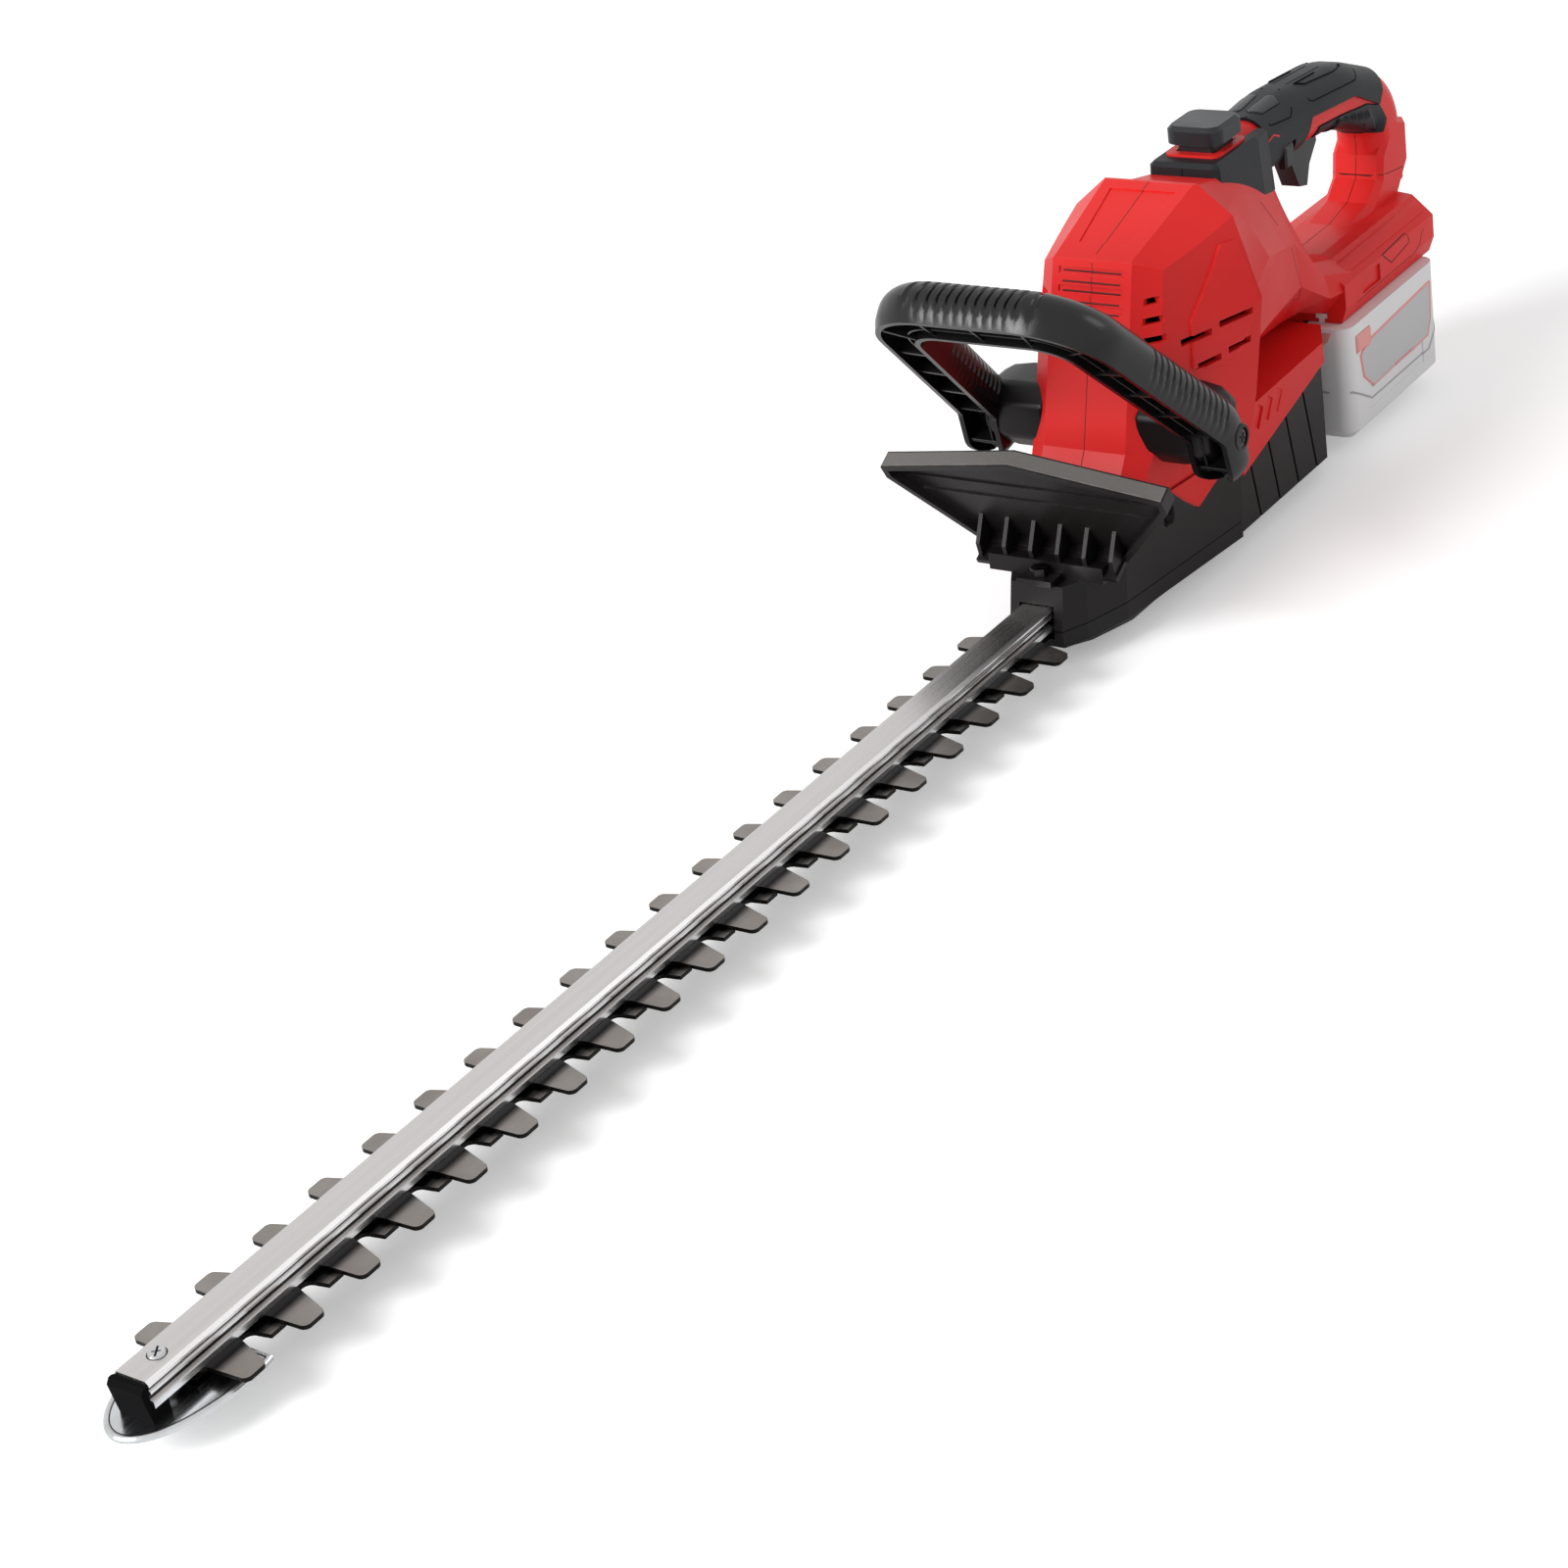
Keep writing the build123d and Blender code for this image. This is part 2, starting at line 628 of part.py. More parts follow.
# ---- red body: faceted dome with a flared skirt, split along the middle --------------------------
dome_slope = (body_top_z - brow_z) / (brow_x - body_rear_x - 2)
dome_levels = [
    (case_top_z, flare_outline),
    (dome_foot_z, dome_foot_outline),
    (dome_waist_z, dome_waist_outline),
    (brow_z + 22, dome_brow_outline),
]
side_panel = [(-36, 112), (-38, 134), (-66, 161), (-76, 160), (-77, 128), (-62, 106)]
roof_panel = [(-33, 13), (-72, 17)]
skirt_pocket_xs = [-90.0, -100.5, -111.0]
skirt_pocket_z = 66.0
side_vents = [(-40.0, 126.0, 17.0), (-63.0, 127.5, 20.0), (-46.0, 112.0, 15.0), (-66.0, 113.0, 16.0)]
front_vents = [(-20.0, 132.0, 9.0), (-21.0, 140.5, 9.0), (-22.0, 149.0, 9.0)]
vent_height = 3.2
louvre_count = 5
louvre_pitch = 8.0
louvre_top_z = 162.0


def dome_form(shrink):
    with BuildPart() as dome:
        for low, high in zip(dome_levels[:-1], dome_levels[1:]):
            add(faceted([low, high], shrink))
        top = brow_z - shrink
        roof = [
            (brow_x + 60, top - 60 * dome_slope),
            (brow_x, top),
            (body_rear_x + 2, top + dome_slope * (brow_x - body_rear_x - 2)),
            (body_rear_x - 20, top + dome_slope * (brow_x - body_rear_x - 2)),
            (body_rear_x - 20, 260),
            (brow_x + 60, 260),
        ]
        add(side_prism(roof, 80), mode=Mode.SUBTRACT)
        for side in (1, -1):
            corner = Vector(brow_x, side * 20, brow_z)
            ridge = Vector(body_rear_x, side * ridge_half, body_top_z)
            eave = Vector(body_rear_x, side * eave_half, eave_z)
            across = (ridge - corner).cross(eave - corner).normalized()
            across = across * math.copysign(1, across.Z)
            split(bisect_by=Plane(origin=corner - across * shrink, z_dir=across), keep=Keep.BOTTOM)
    return dome.part


skirt_levels = [(tail_edge_front_z - 4, skirt_outline), (tail_shelf_z, skirt_outline)]


def body_form(shrink):
    with BuildPart() as form:
        add(dome_form(shrink))
        if not shrink:
            # raised panel on each flank, and a shallow inset in the roof
            with BuildPart(mode=Mode.PRIVATE) as panels:
                add(dome_form(-panel_depth))
                add(side_prism(side_panel, 80), mode=Mode.INTERSECT)
            add(panels.part)
            roof_plane = Plane(origin=(brow_x, 0, brow_z), x_dir=(1, 0, -dome_slope), z_dir=(dome_slope, 0, 1))
            with BuildSketch(roof_plane):
                Polygon(*both_sides([((x - brow_x) * math.hypot(1, dome_slope), half) for x, half in roof_panel]), align=None)
            extrude(amount=-panel_depth / 2, mode=Mode.SUBTRACT)
        with BuildPart(mode=Mode.PRIVATE) as skirt:
            add(faceted(skirt_levels, shrink))
            with BuildPart(mode=Mode.PRIVATE) as below:
                Box(600, 200, 400)
                add(side_prism(tail_edge_cut(seat), 90), mode=Mode.SUBTRACT)
            add(below.part, mode=Mode.SUBTRACT)
            if shrink:
                with Locations((-120, 0, tail_shelf_z)):
                    Box(200, 120, 2 * shrink, mode=Mode.SUBTRACT)
        add(skirt.part)
    return form.part


body_outer = body_form(0)
body_inner = body_form(wall)

dome_lean = (dome_waist_outline[0][0] - dome_brow_outline[0][0]) / (dome_waist_z - brow_z - 22)
lean_angle = math.degrees(math.atan(dome_lean))


def dome_front_x(z):
    return dome_waist_outline[0][0] + dome_lean * (z - dome_waist_z)


with BuildPart() as body:
    add(body_outer)
    add(body_inner, mode=Mode.SUBTRACT)
    with BuildSketch(Plane.YZ.offset(body_rear_x - 1)):
        with Locations((0, turntable_z)):
            Circle(hub_radius + slip)
    extrude(amount=wall + 2, mode=Mode.SUBTRACT)
    with Locations((bail_mount[0], 0, bail_mount[1])):
        Cylinder(bail_screw_radius, 200, rotation=(90, 0, 0), mode=Mode.SUBTRACT)
    for x, z, length in side_vents + front_vents:
        for side in (1, -1):
            with Locations((x, side * 40, z)):
                Box(length, 30, vent_height, mode=Mode.SUBTRACT)
    for x in skirt_pocket_xs:
        for side in (1, -1):
            with Locations(Pos(x, side * 41.0, skirt_pocket_z) * Rot(0, -35, 0)):
                Box(6, 3, 11, mode=Mode.SUBTRACT)
    for row in range(louvre_count):
        z = louvre_top_z - louvre_pitch * row
        with Locations(Pos(dome_front_x(z), 0, z) * Rot(0, lean_angle, 0)):
            Box(1.8, 34, 3.0, mode=Mode.SUBTRACT)

with BuildPart() as body_left:
    add(body.part)
    split(bisect_by=Plane.XZ, keep=Keep.BOTTOM)
save(body_left, "body_left")

with BuildPart() as body_right:
    add(body.part)
    split(bisect_by=Plane.XZ, keep=Keep.TOP)
save(body_right, "body_right")

# ---- turntable hub: carries the rear handle in the rear wall of the body -------------------------
hub_flange_x = body_rear_x + wall + slip

with BuildPart() as turntable_hub:
    with BuildSketch(Plane.YZ.offset(handle_front_x)):
        with Locations((0, turntable_z)):
            Circle(hub_radius)
            Circle(hub_bore, mode=Mode.SUBTRACT)
    extrude(amount=hub_flange_x + 3 - handle_front_x)
    with BuildSketch(Plane.YZ.offset(hub_flange_x)):
        with Locations((0, turntable_z)):
            Circle(hub_flange_radius)
            Circle(hub_bore, mode=Mode.SUBTRACT)
    extrude(amount=3)
save(turntable_hub, "turntable_hub")

# ---- rear handle --------------------------------------------------------------------------------
grip_points = [(-138, 167), (-200, 171), (-256, 167), (-303, 148), (-306, 104)]
grip_bends = [60, 60, 24]
leg_profile = [
    (-289, 124), (-287, 112), (-276, 103), (-248, 98), (-248, 88), (-302, 88), (-308, 98), (-321, 112), (-321, 134),
    (-305, 140),
]
shoulder_sections = [
    (handle_front_x, [(20, 181), (37, 167), (48, 131), (42, 102), (22, 88)]),
    (-112, [(17, 175), (24, 166), (41, 138), (38, 104), (20, 86)]),
    (-164, [(14, 166), (18, 150), (27, 124), (29, 102), (16, 82)]),
    (-190, [(14, 108), (22, 104), (28, 98), (31, 86), (13, 77)]),
    (-214, [(14, 99), (22, 97), (31, 91), (33, 84), (30, foot_bottom_z)]),
]


def grip_sweep(width, height, corner):
    with BuildPart() as grip:
        with BuildLine(Plane.XZ) as path:
            FilletPolyline(*grip_points, radius=grip_bends)
        with BuildSketch(Plane(origin=path.line @ 0, z_dir=path.line % 0, x_dir=(0, 1, 0))):
            RectangleRounded(width, height, corner)
        sweep()
    return grip.part


def shoulder_loft(shrink):
    with BuildPart() as shoulder:
        for near, far in zip(shoulder_sections[:-1], shoulder_sections[1:]):
            with BuildPart(mode=Mode.PRIVATE) as span:
                for x, half in (near, far):
                    with BuildSketch(Plane.YZ.offset(x)):
                        Polygon(*(half + [(-y, z) for y, z in reversed(half)]), align=None)
                        if shrink:
                            offset(amount=-shrink, kind=Kind.INTERSECTION)
                loft(ruled=True)
            add(span.part)
        if shrink:
            with Locations((handle_front_x, 0, turntable_z)):
                Box(2 * shrink, 120, 140, mode=Mode.SUBTRACT)
                Cylinder(hub_bore, 4 * shrink, rotation=(0, 90, 0))
    return shoulder.part


foot_section = [(15, foot_top_z), (22, foot_top_z - 1), (foot_half, 88), (foot_half, 76), (30, foot_bottom_z)]
foot_pocket_x = -232.0
foot_pocket_z = 81.0
rail_y = 19.0
rail_neck = 3.0
rail_head = 6.0

core_width = grip_width - 2 * cover_thickness
core_height = grip_height - 2 * cover_thickness
rail_length = -2 * (foot_rear_x - pack_front_x)
boss_top_z = 182.6
collar_front_x = -112.5
slider_x = -186.0
slider_z = 160.0
slider_travel = 4.0
slider_size = (9.0, 4.4, 11.0)
switch_size = (26.0, 14.0, 12.0)
switch_centre = (-222.0, 0.0, 174.0)
trigger_width = 10.0

with BuildPart() as slider_pocket:
    # window in the left flank that leaves the slider its travel
    with Locations((slider_x - slider_travel / 2, core_width / 2 + 2, slider_z)):
        Box(slider_size[0] + slider_travel + 2 * slip, 10, slider_size[2] + 2 * slip)
slider_window = slider_pocket.part

with BuildPart() as handle:
    add(shoulder_loft(0))
    add(grip_sweep(core_width, core_height, 11))
    with BuildPart(mode=Mode.PRIVATE) as leg:
        add(side_prism(leg_profile, core_width / 2))
        flanks = leg.faces().sort_by(Axis.Y)
        chamfer(flanks[0].outer_wire().edges() + flanks[-1].outer_wire().edges(), 3)
    add(leg.part)
    with BuildSketch(Plane.YZ.offset(foot_rear_x)):
        Polygon(*(foot_section + [(-y, z) for y, z in reversed(foot_section)]), align=None)
    extrude(amount=foot_front_x - foot_rear_x)
    # raised boss round the release button
    with BuildSketch(Plane.XY.offset(160)):
        with Locations((button_x, 0)):
            RectangleRounded(button_size + 5, button_size + 3, 6)
    extrude(amount=boss_top_z - 160, taper=4)
    # hollow inside the shoulder, the grip and the foot
    add(shoulder_loft(wall), mode=Mode.SUBTRACT)
    add(grip_sweep(core_width - 2 * wall, core_height - 2 * wall, 8), mode=Mode.SUBTRACT)
    with Locations(((foot_rear_x + foot_front_x) / 2, 0, 87.5)):
        Box(foot_front_x - foot_rear_x - 2 * wall, 2 * (foot_half - wall) - 6, 13, mode=Mode.SUBTRACT)
    for side in (1, -1):
        # finger pocket low on each flank of the foot
        with Locations(Pos(foot_pocket_x, side * foot_half, foot_pocket_z) * Rot(0, 0, 0)):
            Box(20, 2.4, 9, mode=Mode.SUBTRACT)
    with BuildSketch(Plane.XY.offset(150)):
        with Locations((button_x, 0)):
            Rectangle(21, 21)
    extrude(amount=50, mode=Mode.SUBTRACT)
    with Locations((-222, 0, 148)):
        Box(38, trigger_width + 2, 24, mode=Mode.SUBTRACT)
    add(slider_window, mode=Mode.SUBTRACT)
    for side in (1, -1):
        with Locations((foot_rear_x, side * rail_y, foot_bottom_z)):
            Box(rail_length, rail_neck + 2 * slip, 7, mode=Mode.SUBTRACT)
            with Locations((0, 0, 3.5)):
                Box(rail_length, rail_head + 2 * slip, 3 + 2 * slip, mode=Mode.SUBTRACT)

with BuildPart() as handle_left:
    add(handle.part)
    split(bisect_by=Plane.XZ, keep=Keep.BOTTOM)
save(handle_left, "handle_left")

with BuildPart() as handle_right:
    add(handle.part)
    split(bisect_by=Plane.XZ, keep=Keep.TOP)
save(handle_right, "handle_right")

# ---- black overmoulds on the handle -------------------------------------------------------------
def grip_band(points):
    # the overmould skin of the grip where it lies inside a side view outline
    with BuildPart() as band:
        add(grip_sweep(grip_width, grip_height, 12.5))
        add(grip_sweep(core_width, core_height, 11), mode=Mode.SUBTRACT)
        add(side_prism(points, 40), mode=Mode.INTERSECT)
    return band


grip_cover = grip_band(
    [(-166, 200), (-166, 160), (-204, 156), (-214, 170), (-262, 165), (-288, 152), (-292, 158), (-300, 200)]
)
with BuildPart() as grip_cover_trimmed:
    add(grip_cover.part)
    add(handle.part, mode=Mode.SUBTRACT)
    add(slider_window, mode=Mode.SUBTRACT)
save(grip_cover_trimmed, "grip_cover")

finger_pad = grip_band([(-244, 150), (-244, 158), (-276, 151), (-288, 140), (-280, 128), (-262, 140)])
with BuildPart() as finger_pad_trimmed:
    add(finger_pad.part)
    add(handle.part, mode=Mode.SUBTRACT)
save(finger_pad_trimmed, "finger_pad")

with BuildPart() as handle_collar:
    with BuildSketch(Plane.XY.offset(150)):
        Polygon((-108, 17), (-112, 20), (-152, 20), (-167, 17.5), (-167, -17.5), (-152, -20), (-112, -20), (-108, -17), align=None)
    extrude(amount=31.5, taper=3)
    chamfer(handle_collar.faces().sort_by(Axis.Z)[-1].outer_wire().edges(), 2.0)
    with BuildSketch(Plane.XZ):
        Polygon((-100, 140), (-100, 172), (-118, 170), (-150, 152), (-160, 140), align=None)
    extrude(amount=40, both=True, mode=Mode.SUBTRACT)
    add(shoulder_loft(0), mode=Mode.SUBTRACT)
    add(grip_sweep(grip_width, grip_height, 12.5), mode=Mode.SUBTRACT)
    with BuildSketch(Plane.XY.offset(150)):
        with Locations((button_x, 0)):
            Rectangle(21, 21)
    extrude(amount=50, mode=Mode.SUBTRACT)
    add(handle.part, mode=Mode.SUBTRACT)
save(handle_collar, "handle_collar")

# ---- trigger, its pin and spring, and the switch ------------------------------------------------
trigger_x, trigger_z = trigger_pivot
trigger_outline = [(6, 3), (-2, 4.5), (-30, -8), (-31, -13), (-22, -22), (-18, -32), (-10, -30), (-4, -18)]

with BuildPart() as trigger:
    with BuildSketch(Plane.XZ):
        with Locations((trigger_x, trigger_z)):
            Polygon(*trigger_outline, align=None)
            Circle(4.5)
            Circle(1.5 + 0.05, mode=Mode.SUBTRACT)
    extrude(amount=trigger_width / 2, both=True)
save(trigger, "trigger")

with BuildPart() as trigger_pin:
    with BuildSketch(Plane.XZ):
        with Locations((trigger_x, trigger_z)):
            Circle(1.5)
    extrude(amount=core_width / 2 - wall - 1.6, both=True)
save(trigger_pin, "trigger_pin")

with BuildPart() as trigger_spring:
    for side in (1, -1):
        with BuildSketch(Plane.XZ.offset(-side * (trigger_width / 2 + 1.2))):
            with Locations((trigger_x, trigger_z)):
                Circle(3.2)
                Circle(1.5, mode=Mode.SUBTRACT)
        extrude(amount=-side * 2.4)
save(trigger_spring, "trigger_spring")

with BuildPart() as trigger_switch:
    with Locations(switch_centre):
        Box(*switch_size)
    with Locations((switch_centre[0] + 4, 0, switch_centre[2] - switch_size[2] / 2)):
        Box(4, 5, 3)
save(trigger_switch, "trigger_switch")

# ---- release button of the turning handle, with its spring --------------------------------------
with BuildPart() as rotation_button:
    with BuildSketch(Plane.XY.offset(boss_top_z + button_travel + slip)):
        with Locations((button_x, 0)):
            RectangleRounded(button_size, button_size, 7)
    extrude(amount=8.5)
    chamfer(rotation_button.faces().sort_by(Axis.Z)[-1].outer_wire().edges(), 2.0)
    with BuildSketch(Plane.XY.offset(boss_top_z + button_travel + slip)):
        with Locations((button_x, 0)):
            RectangleRounded(20.4, 20.4, 3)
            Circle(6.5, mode=Mode.SUBTRACT)
    extrude(amount=-16)
save(rotation_button, "rotation_button")

button_spring_z = 172.0
with BuildPart() as button_spring:
    for turn in range(5):
        with BuildSketch(Plane.XY.offset(button_spring_z + 3.0 * turn)):
            with Locations((button_x, 0)):
                Circle(5.5)
                Circle(4.3, mode=Mode.SUBTRACT)
        extrude(amount=1.2)
    with BuildSketch(Plane.XY.offset(button_spring_z)):
        with Locations((button_x, 0)):
            with PolarLocations(4.9, 2):
                Circle(0.45)
    extrude(amount=boss_top_z + button_travel + slip - button_spring_z)
save(button_spring, "button_spring")

# ---- lock-off slider on the left flank of the grip ----------------------------------------------
with BuildPart() as lock_slider:
    with Locations((slider_x, core_width / 2 + cover_thickness - 1.2, slider_z)):
        Box(*slider_size)
    chamfer(lock_slider.faces().sort_by(Axis.Y)[-1].outer_wire().edges(), 1.0)
save(lock_slider, "lock_slider")

# ---- battery pack: lower and upper case, cells, latches -----------------------------------------
pack_top_z = foot_bottom_z - slip
pack_x = (pack_front_x + pack_rear_x) / 2
latch_x = pack_front_x - 16.0
latch_z = 57.0


def pack_block(z, height, inset):
    with BuildPart() as block:
        with BuildSketch(Plane.XY.offset(z)):
            with Locations((pack_x, 0)):
                RectangleRounded(pack_length - 2 * inset, 2 * (pack_half - inset), 8 - min(inset, 4))
        extrude(amount=height)
    return block.part


with BuildPart() as pack_lower:
    add(pack_block(pack_bottom_z, pack_split_z - pack_bottom_z, 0))
    chamfer(pack_lower.faces().sort_by(Axis.Z)[0].outer_wire().edges(), 4)
    add(pack_block(pack_bottom_z + wall, pack_split_z, wall), mode=Mode.SUBTRACT)
    for side in (1, -1):
        with Locations((pack_x, side * pack_half, 24)):
            Box(pack_length - 40, 1.2, 12, mode=Mode.SUBTRACT)
save(pack_lower, "pack_lower")

with BuildPart() as pack_upper:
    add(pack_block(pack_split_z, pack_top_z - pack_split_z, 0))
    add(pack_block(pack_split_z - 1, pack_top_z - 3 - pack_split_z + 1, wall), mode=Mode.SUBTRACT)
    for side in (1, -1):
        with Locations((pack_x - 3, side * rail_y, pack_top_z + 1)):
            Box(pack_length - 10, rail_neck, 3)
        with Locations((pack_x - 3, side * rail_y, pack_top_z + 3.5)):
            Box(pack_length - 10, rail_head, 2.4)
        with Locations((latch_x, side * pack_half, latch_z)):
            Box(16 + 2 * slip, 14, 9 + 2 * slip, mode=Mode.SUBTRACT)
    with Locations((pack_front_x - 12, 0, pack_top_z)):
        Box(26, 24, 14, mode=Mode.SUBTRACT)
    with Locations((pack_front_x - 24.5, 0, pack_top_z - 8)):
        Box(wall, 26, 13)
    with Locations((pack_front_x - 12, 0, pack_top_z - 8)):
        Box(25, 26, wall)
save(pack_upper, "pack_upper")

cell_floor_z = pack_bottom_z + wall
with BuildPart() as pack_cells:
    for row in range(2):
        for column in range(cell_count):
            cell_x = pack_x + (column - (cell_count - 1) / 2) * 2 * (cell_radius + seat)
            cell_z = cell_floor_z + cell_radius + row * 2 * (cell_radius + seat)
            with BuildSketch(Plane.XZ):
                with Locations((cell_x, cell_z)):
                    Circle(cell_radius)
            extrude(amount=cell_length / 2, both=True)
save(pack_cells, "pack_cells")


def latch(side, name):
    with BuildPart() as button:
        with Locations((latch_x, side * (pack_half - 2.0), latch_z)):
            Box(16, 6.0, 9)
        outer_face = button.faces().sort_by(Axis.Y)[-1 if side > 0 else 0]
        chamfer(outer_face.outer_wire().edges(), 0.8)
    save(button, name)


latch(1, "latch_left")
latch(-1, "latch_right")

with BuildPart() as terminal_block:
    with Locations((pack_front_x - 6, 0, pack_top_z - 2.2)):
        Box(8, 20, 5)
    with Locations((pack_front_x - 6, 0, pack_top_z + slip / 2)):
        Box(8, 12, slip)
    with Locations(*[(pack_front_x - 15, y, pack_top_z - 2.5) for y in (-6, 0, 6)]):
        Box(12, 0.8, 3.6)
save(terminal_block, "terminal_block")

# ---- bail handle: hollow loop with a ribbed open face -------------------------------------------
bail_rise = (bail_top[0] - bail_mount[0], bail_top[1] - bail_mount[1])
bail_run = math.hypot(*bail_rise)
bail_back = (-bail_rise[1] / bail_run, 0, bail_rise[0] / bail_run)
bail_plane = Plane(origin=(bail_mount[0], 0, bail_mount[1]), x_dir=(0, -1, 0), z_dir=bail_back)
bail_path = [
    (bail_mount_half + 1, -12),
    (bail_top_half, bail_run),
    (-bail_top_half, bail_run),
    (-bail_mount_half - 1, -12),
]
bail_bend = 26.0
bail_rib_count = 22
bail_rib = 1.8
bail_round = 8.0

with BuildPart() as bail_loop:
    with BuildLine(Plane.XY.offset(-bail_depth / 2)) as bail_centre:
        FilletPolyline(*bail_path, radius=bail_bend)
    with BuildSketch(Plane.XY.offset(-bail_depth / 2)):
        trace(bail_centre.edges(), line_width=bail_width)
    extrude(amount=bail_depth)
    fillet(bail_loop.faces().sort_by(Axis.Z)[-1].outer_wire().edges(), bail_round)
    with BuildPart(mode=Mode.PRIVATE) as bail_channel:
        with BuildSketch(Plane.XY.offset(-bail_depth / 2)):
            trace(bail_centre.edges(), line_width=bail_width - 2 * bail_wall)
        extrude(amount=bail_depth - bail_wall)
        for rib in range(1, bail_rib_count):
            with Locations(bail_centre.wires()[0].location_at(rib / bail_rib_count)):
                Box(3 * bail_depth, 3 * bail_depth, bail_rib, mode=Mode.SUBTRACT)
    add(bail_channel.part, mode=Mode.SUBTRACT)

with BuildPart() as bail_handle:
    add(bail_plane.location * bail_loop.part)
    for side in (1, -1):
        with Locations((bail_mount[0] - 1, side * (bail_mount_half - 16), bail_mount[1] + 1)):
            Box(38, 30, 32)
    add(body_outer, mode=Mode.SUBTRACT)
    with Locations((bail_mount[0], 0, bail_mount[1])):
        Cylinder(bail_screw_radius, 300, rotation=(90, 0, 0), mode=Mode.SUBTRACT)
save(bail_handle, "bail_handle")

bail_screw_head_y = bail_mount_half + bail_width / 2 + 0.5
with BuildPart() as bail_screws:
    for side in (1, -1):
        with BuildSketch(Plane.XZ.offset(-side * (bail_mount_half - 29))):
            with Locations((bail_mount[0], bail_mount[1])):
                Circle(bail_screw_radius)
        extrude(amount=-side * (bail_screw_head_y - bail_mount_half + 29))
        with BuildSketch(Plane.XZ.offset(-side * bail_screw_head_y)):
            with Locations((bail_mount[0], bail_mount[1])):
                Circle(5.0)
                RegularPolygon(2.2, 6, mode=Mode.SUBTRACT)
        extrude(amount=-side * 3)
save(bail_screws, "bail_screws")

# ---- hand guard: dished shield with a thick rim and a ribbed foot -------------------------------
guard_plane = Plane(origin=(31, 0, 50), x_dir=(0, 1, 0), z_dir=(0.87, 0, -0.49))
guard_outline = [(37, 0), (guard_half, 44), (guard_half, 52), (0, 66), (-guard_half, 52), (-guard_half, 44), (-37, 0)]
guard_rim_depth = 6.0
guard_rim = 3.0
guard_shelf_depth = 17.0
guard_rib_count = 6
guard_bands = [(42.0, 0.8), (33.0, 1.6)]

with BuildPart() as guard_shield:
    with BuildSketch():
        Polygon(*guard_outline, align=None)
    extrude(amount=-guard_thickness)
    with BuildSketch():
        Polygon(*guard_outline, align=None)
        with BuildSketch(mode=Mode.PRIVATE) as rim_inner:
            Polygon(*guard_outline, align=None)
            offset(amount=-guard_rim, kind=Kind.INTERSECTION)
        add(rim_inner.sketch, mode=Mode.SUBTRACT)
    extrude(amount=guard_rim_depth)
    for band_top, band_height in guard_bands:
        # the dish is stepped: thicker towards its foot
        with BuildSketch():
            Polygon(*guard_outline, align=None)
            with Locations((0, band_top / 2)):
                Rectangle(3 * guard_half, band_top, mode=Mode.INTERSECT)
        extrude(amount=band_height)
    with Locations((0, 1.25, guard_shelf_depth / 2)):
        Box(74, 2.5, guard_shelf_depth)
    for rib in range(guard_rib_count):
        rib_y = -35 + 70 * rib / (guard_rib_count - 1)
        with BuildSketch(Plane.YZ.offset(rib_y - 1)):
            Polygon((0, 0), (0, guard_shelf_depth - 1), (10, guard_shelf_depth - 4), (19, 0), align=None)
        extrude(amount=2)

with BuildPart() as hand_guard:
    add(guard_plane.location * guard_shield.part)
    with Locations((37, 0, 44)):
        Box(20, 60, 8)
    with Locations((48, 0, nose_top_z + 1.5)):
        Box(20, 18, 3)
    add(case_outer, mode=Mode.SUBTRACT)
    with Locations((guard_screw_x, 0, nose_top_z)):
        Cylinder(guard_screw_radius, 20, mode=Mode.SUBTRACT)
save(hand_guard, "hand_guard")

with BuildPart() as guard_screw:
    with BuildSketch(Plane.XY.offset(nose_top_z - wall)):
        with Locations((guard_screw_x, 0)):
            Circle(2.0)
    extrude(amount=wall + 3)
    with BuildSketch(Plane.XY.offset(nose_top_z + 3)):
        with Locations((guard_screw_x, 0)):
            RegularPolygon(4.2, 6)
    extrude(amount=4)
save(guard_screw, "guard_screw")

# ---- screws that join the gear case and the body ------------------------------------------------
with BuildPart() as case_screws:
    for side in (1, -1):
        with BuildSketch(Plane.XZ.offset(-side * (case_screw_y - 8))):
            with Locations((case_screw_x, case_screw_z)):
                Circle(1.8)
        extrude(amount=-side * 8)
        with BuildSketch(Plane.XZ.offset(-side * case_screw_y)):
            with Locations((case_screw_x, case_screw_z)):
                Circle(3.6)
                Rectangle(4.2, 1.0, mode=Mode.SUBTRACT)
                Rectangle(1.0, 4.2, mode=Mode.SUBTRACT)
        extrude(amount=-side * 1.6)
save(case_screws, "case_screws")
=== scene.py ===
import json
import math

import bpy
from mathutils import Matrix, Vector
from mathutils.bvhtree import BVHTree
from mathutils.geometry import delaunay_2d_cdt


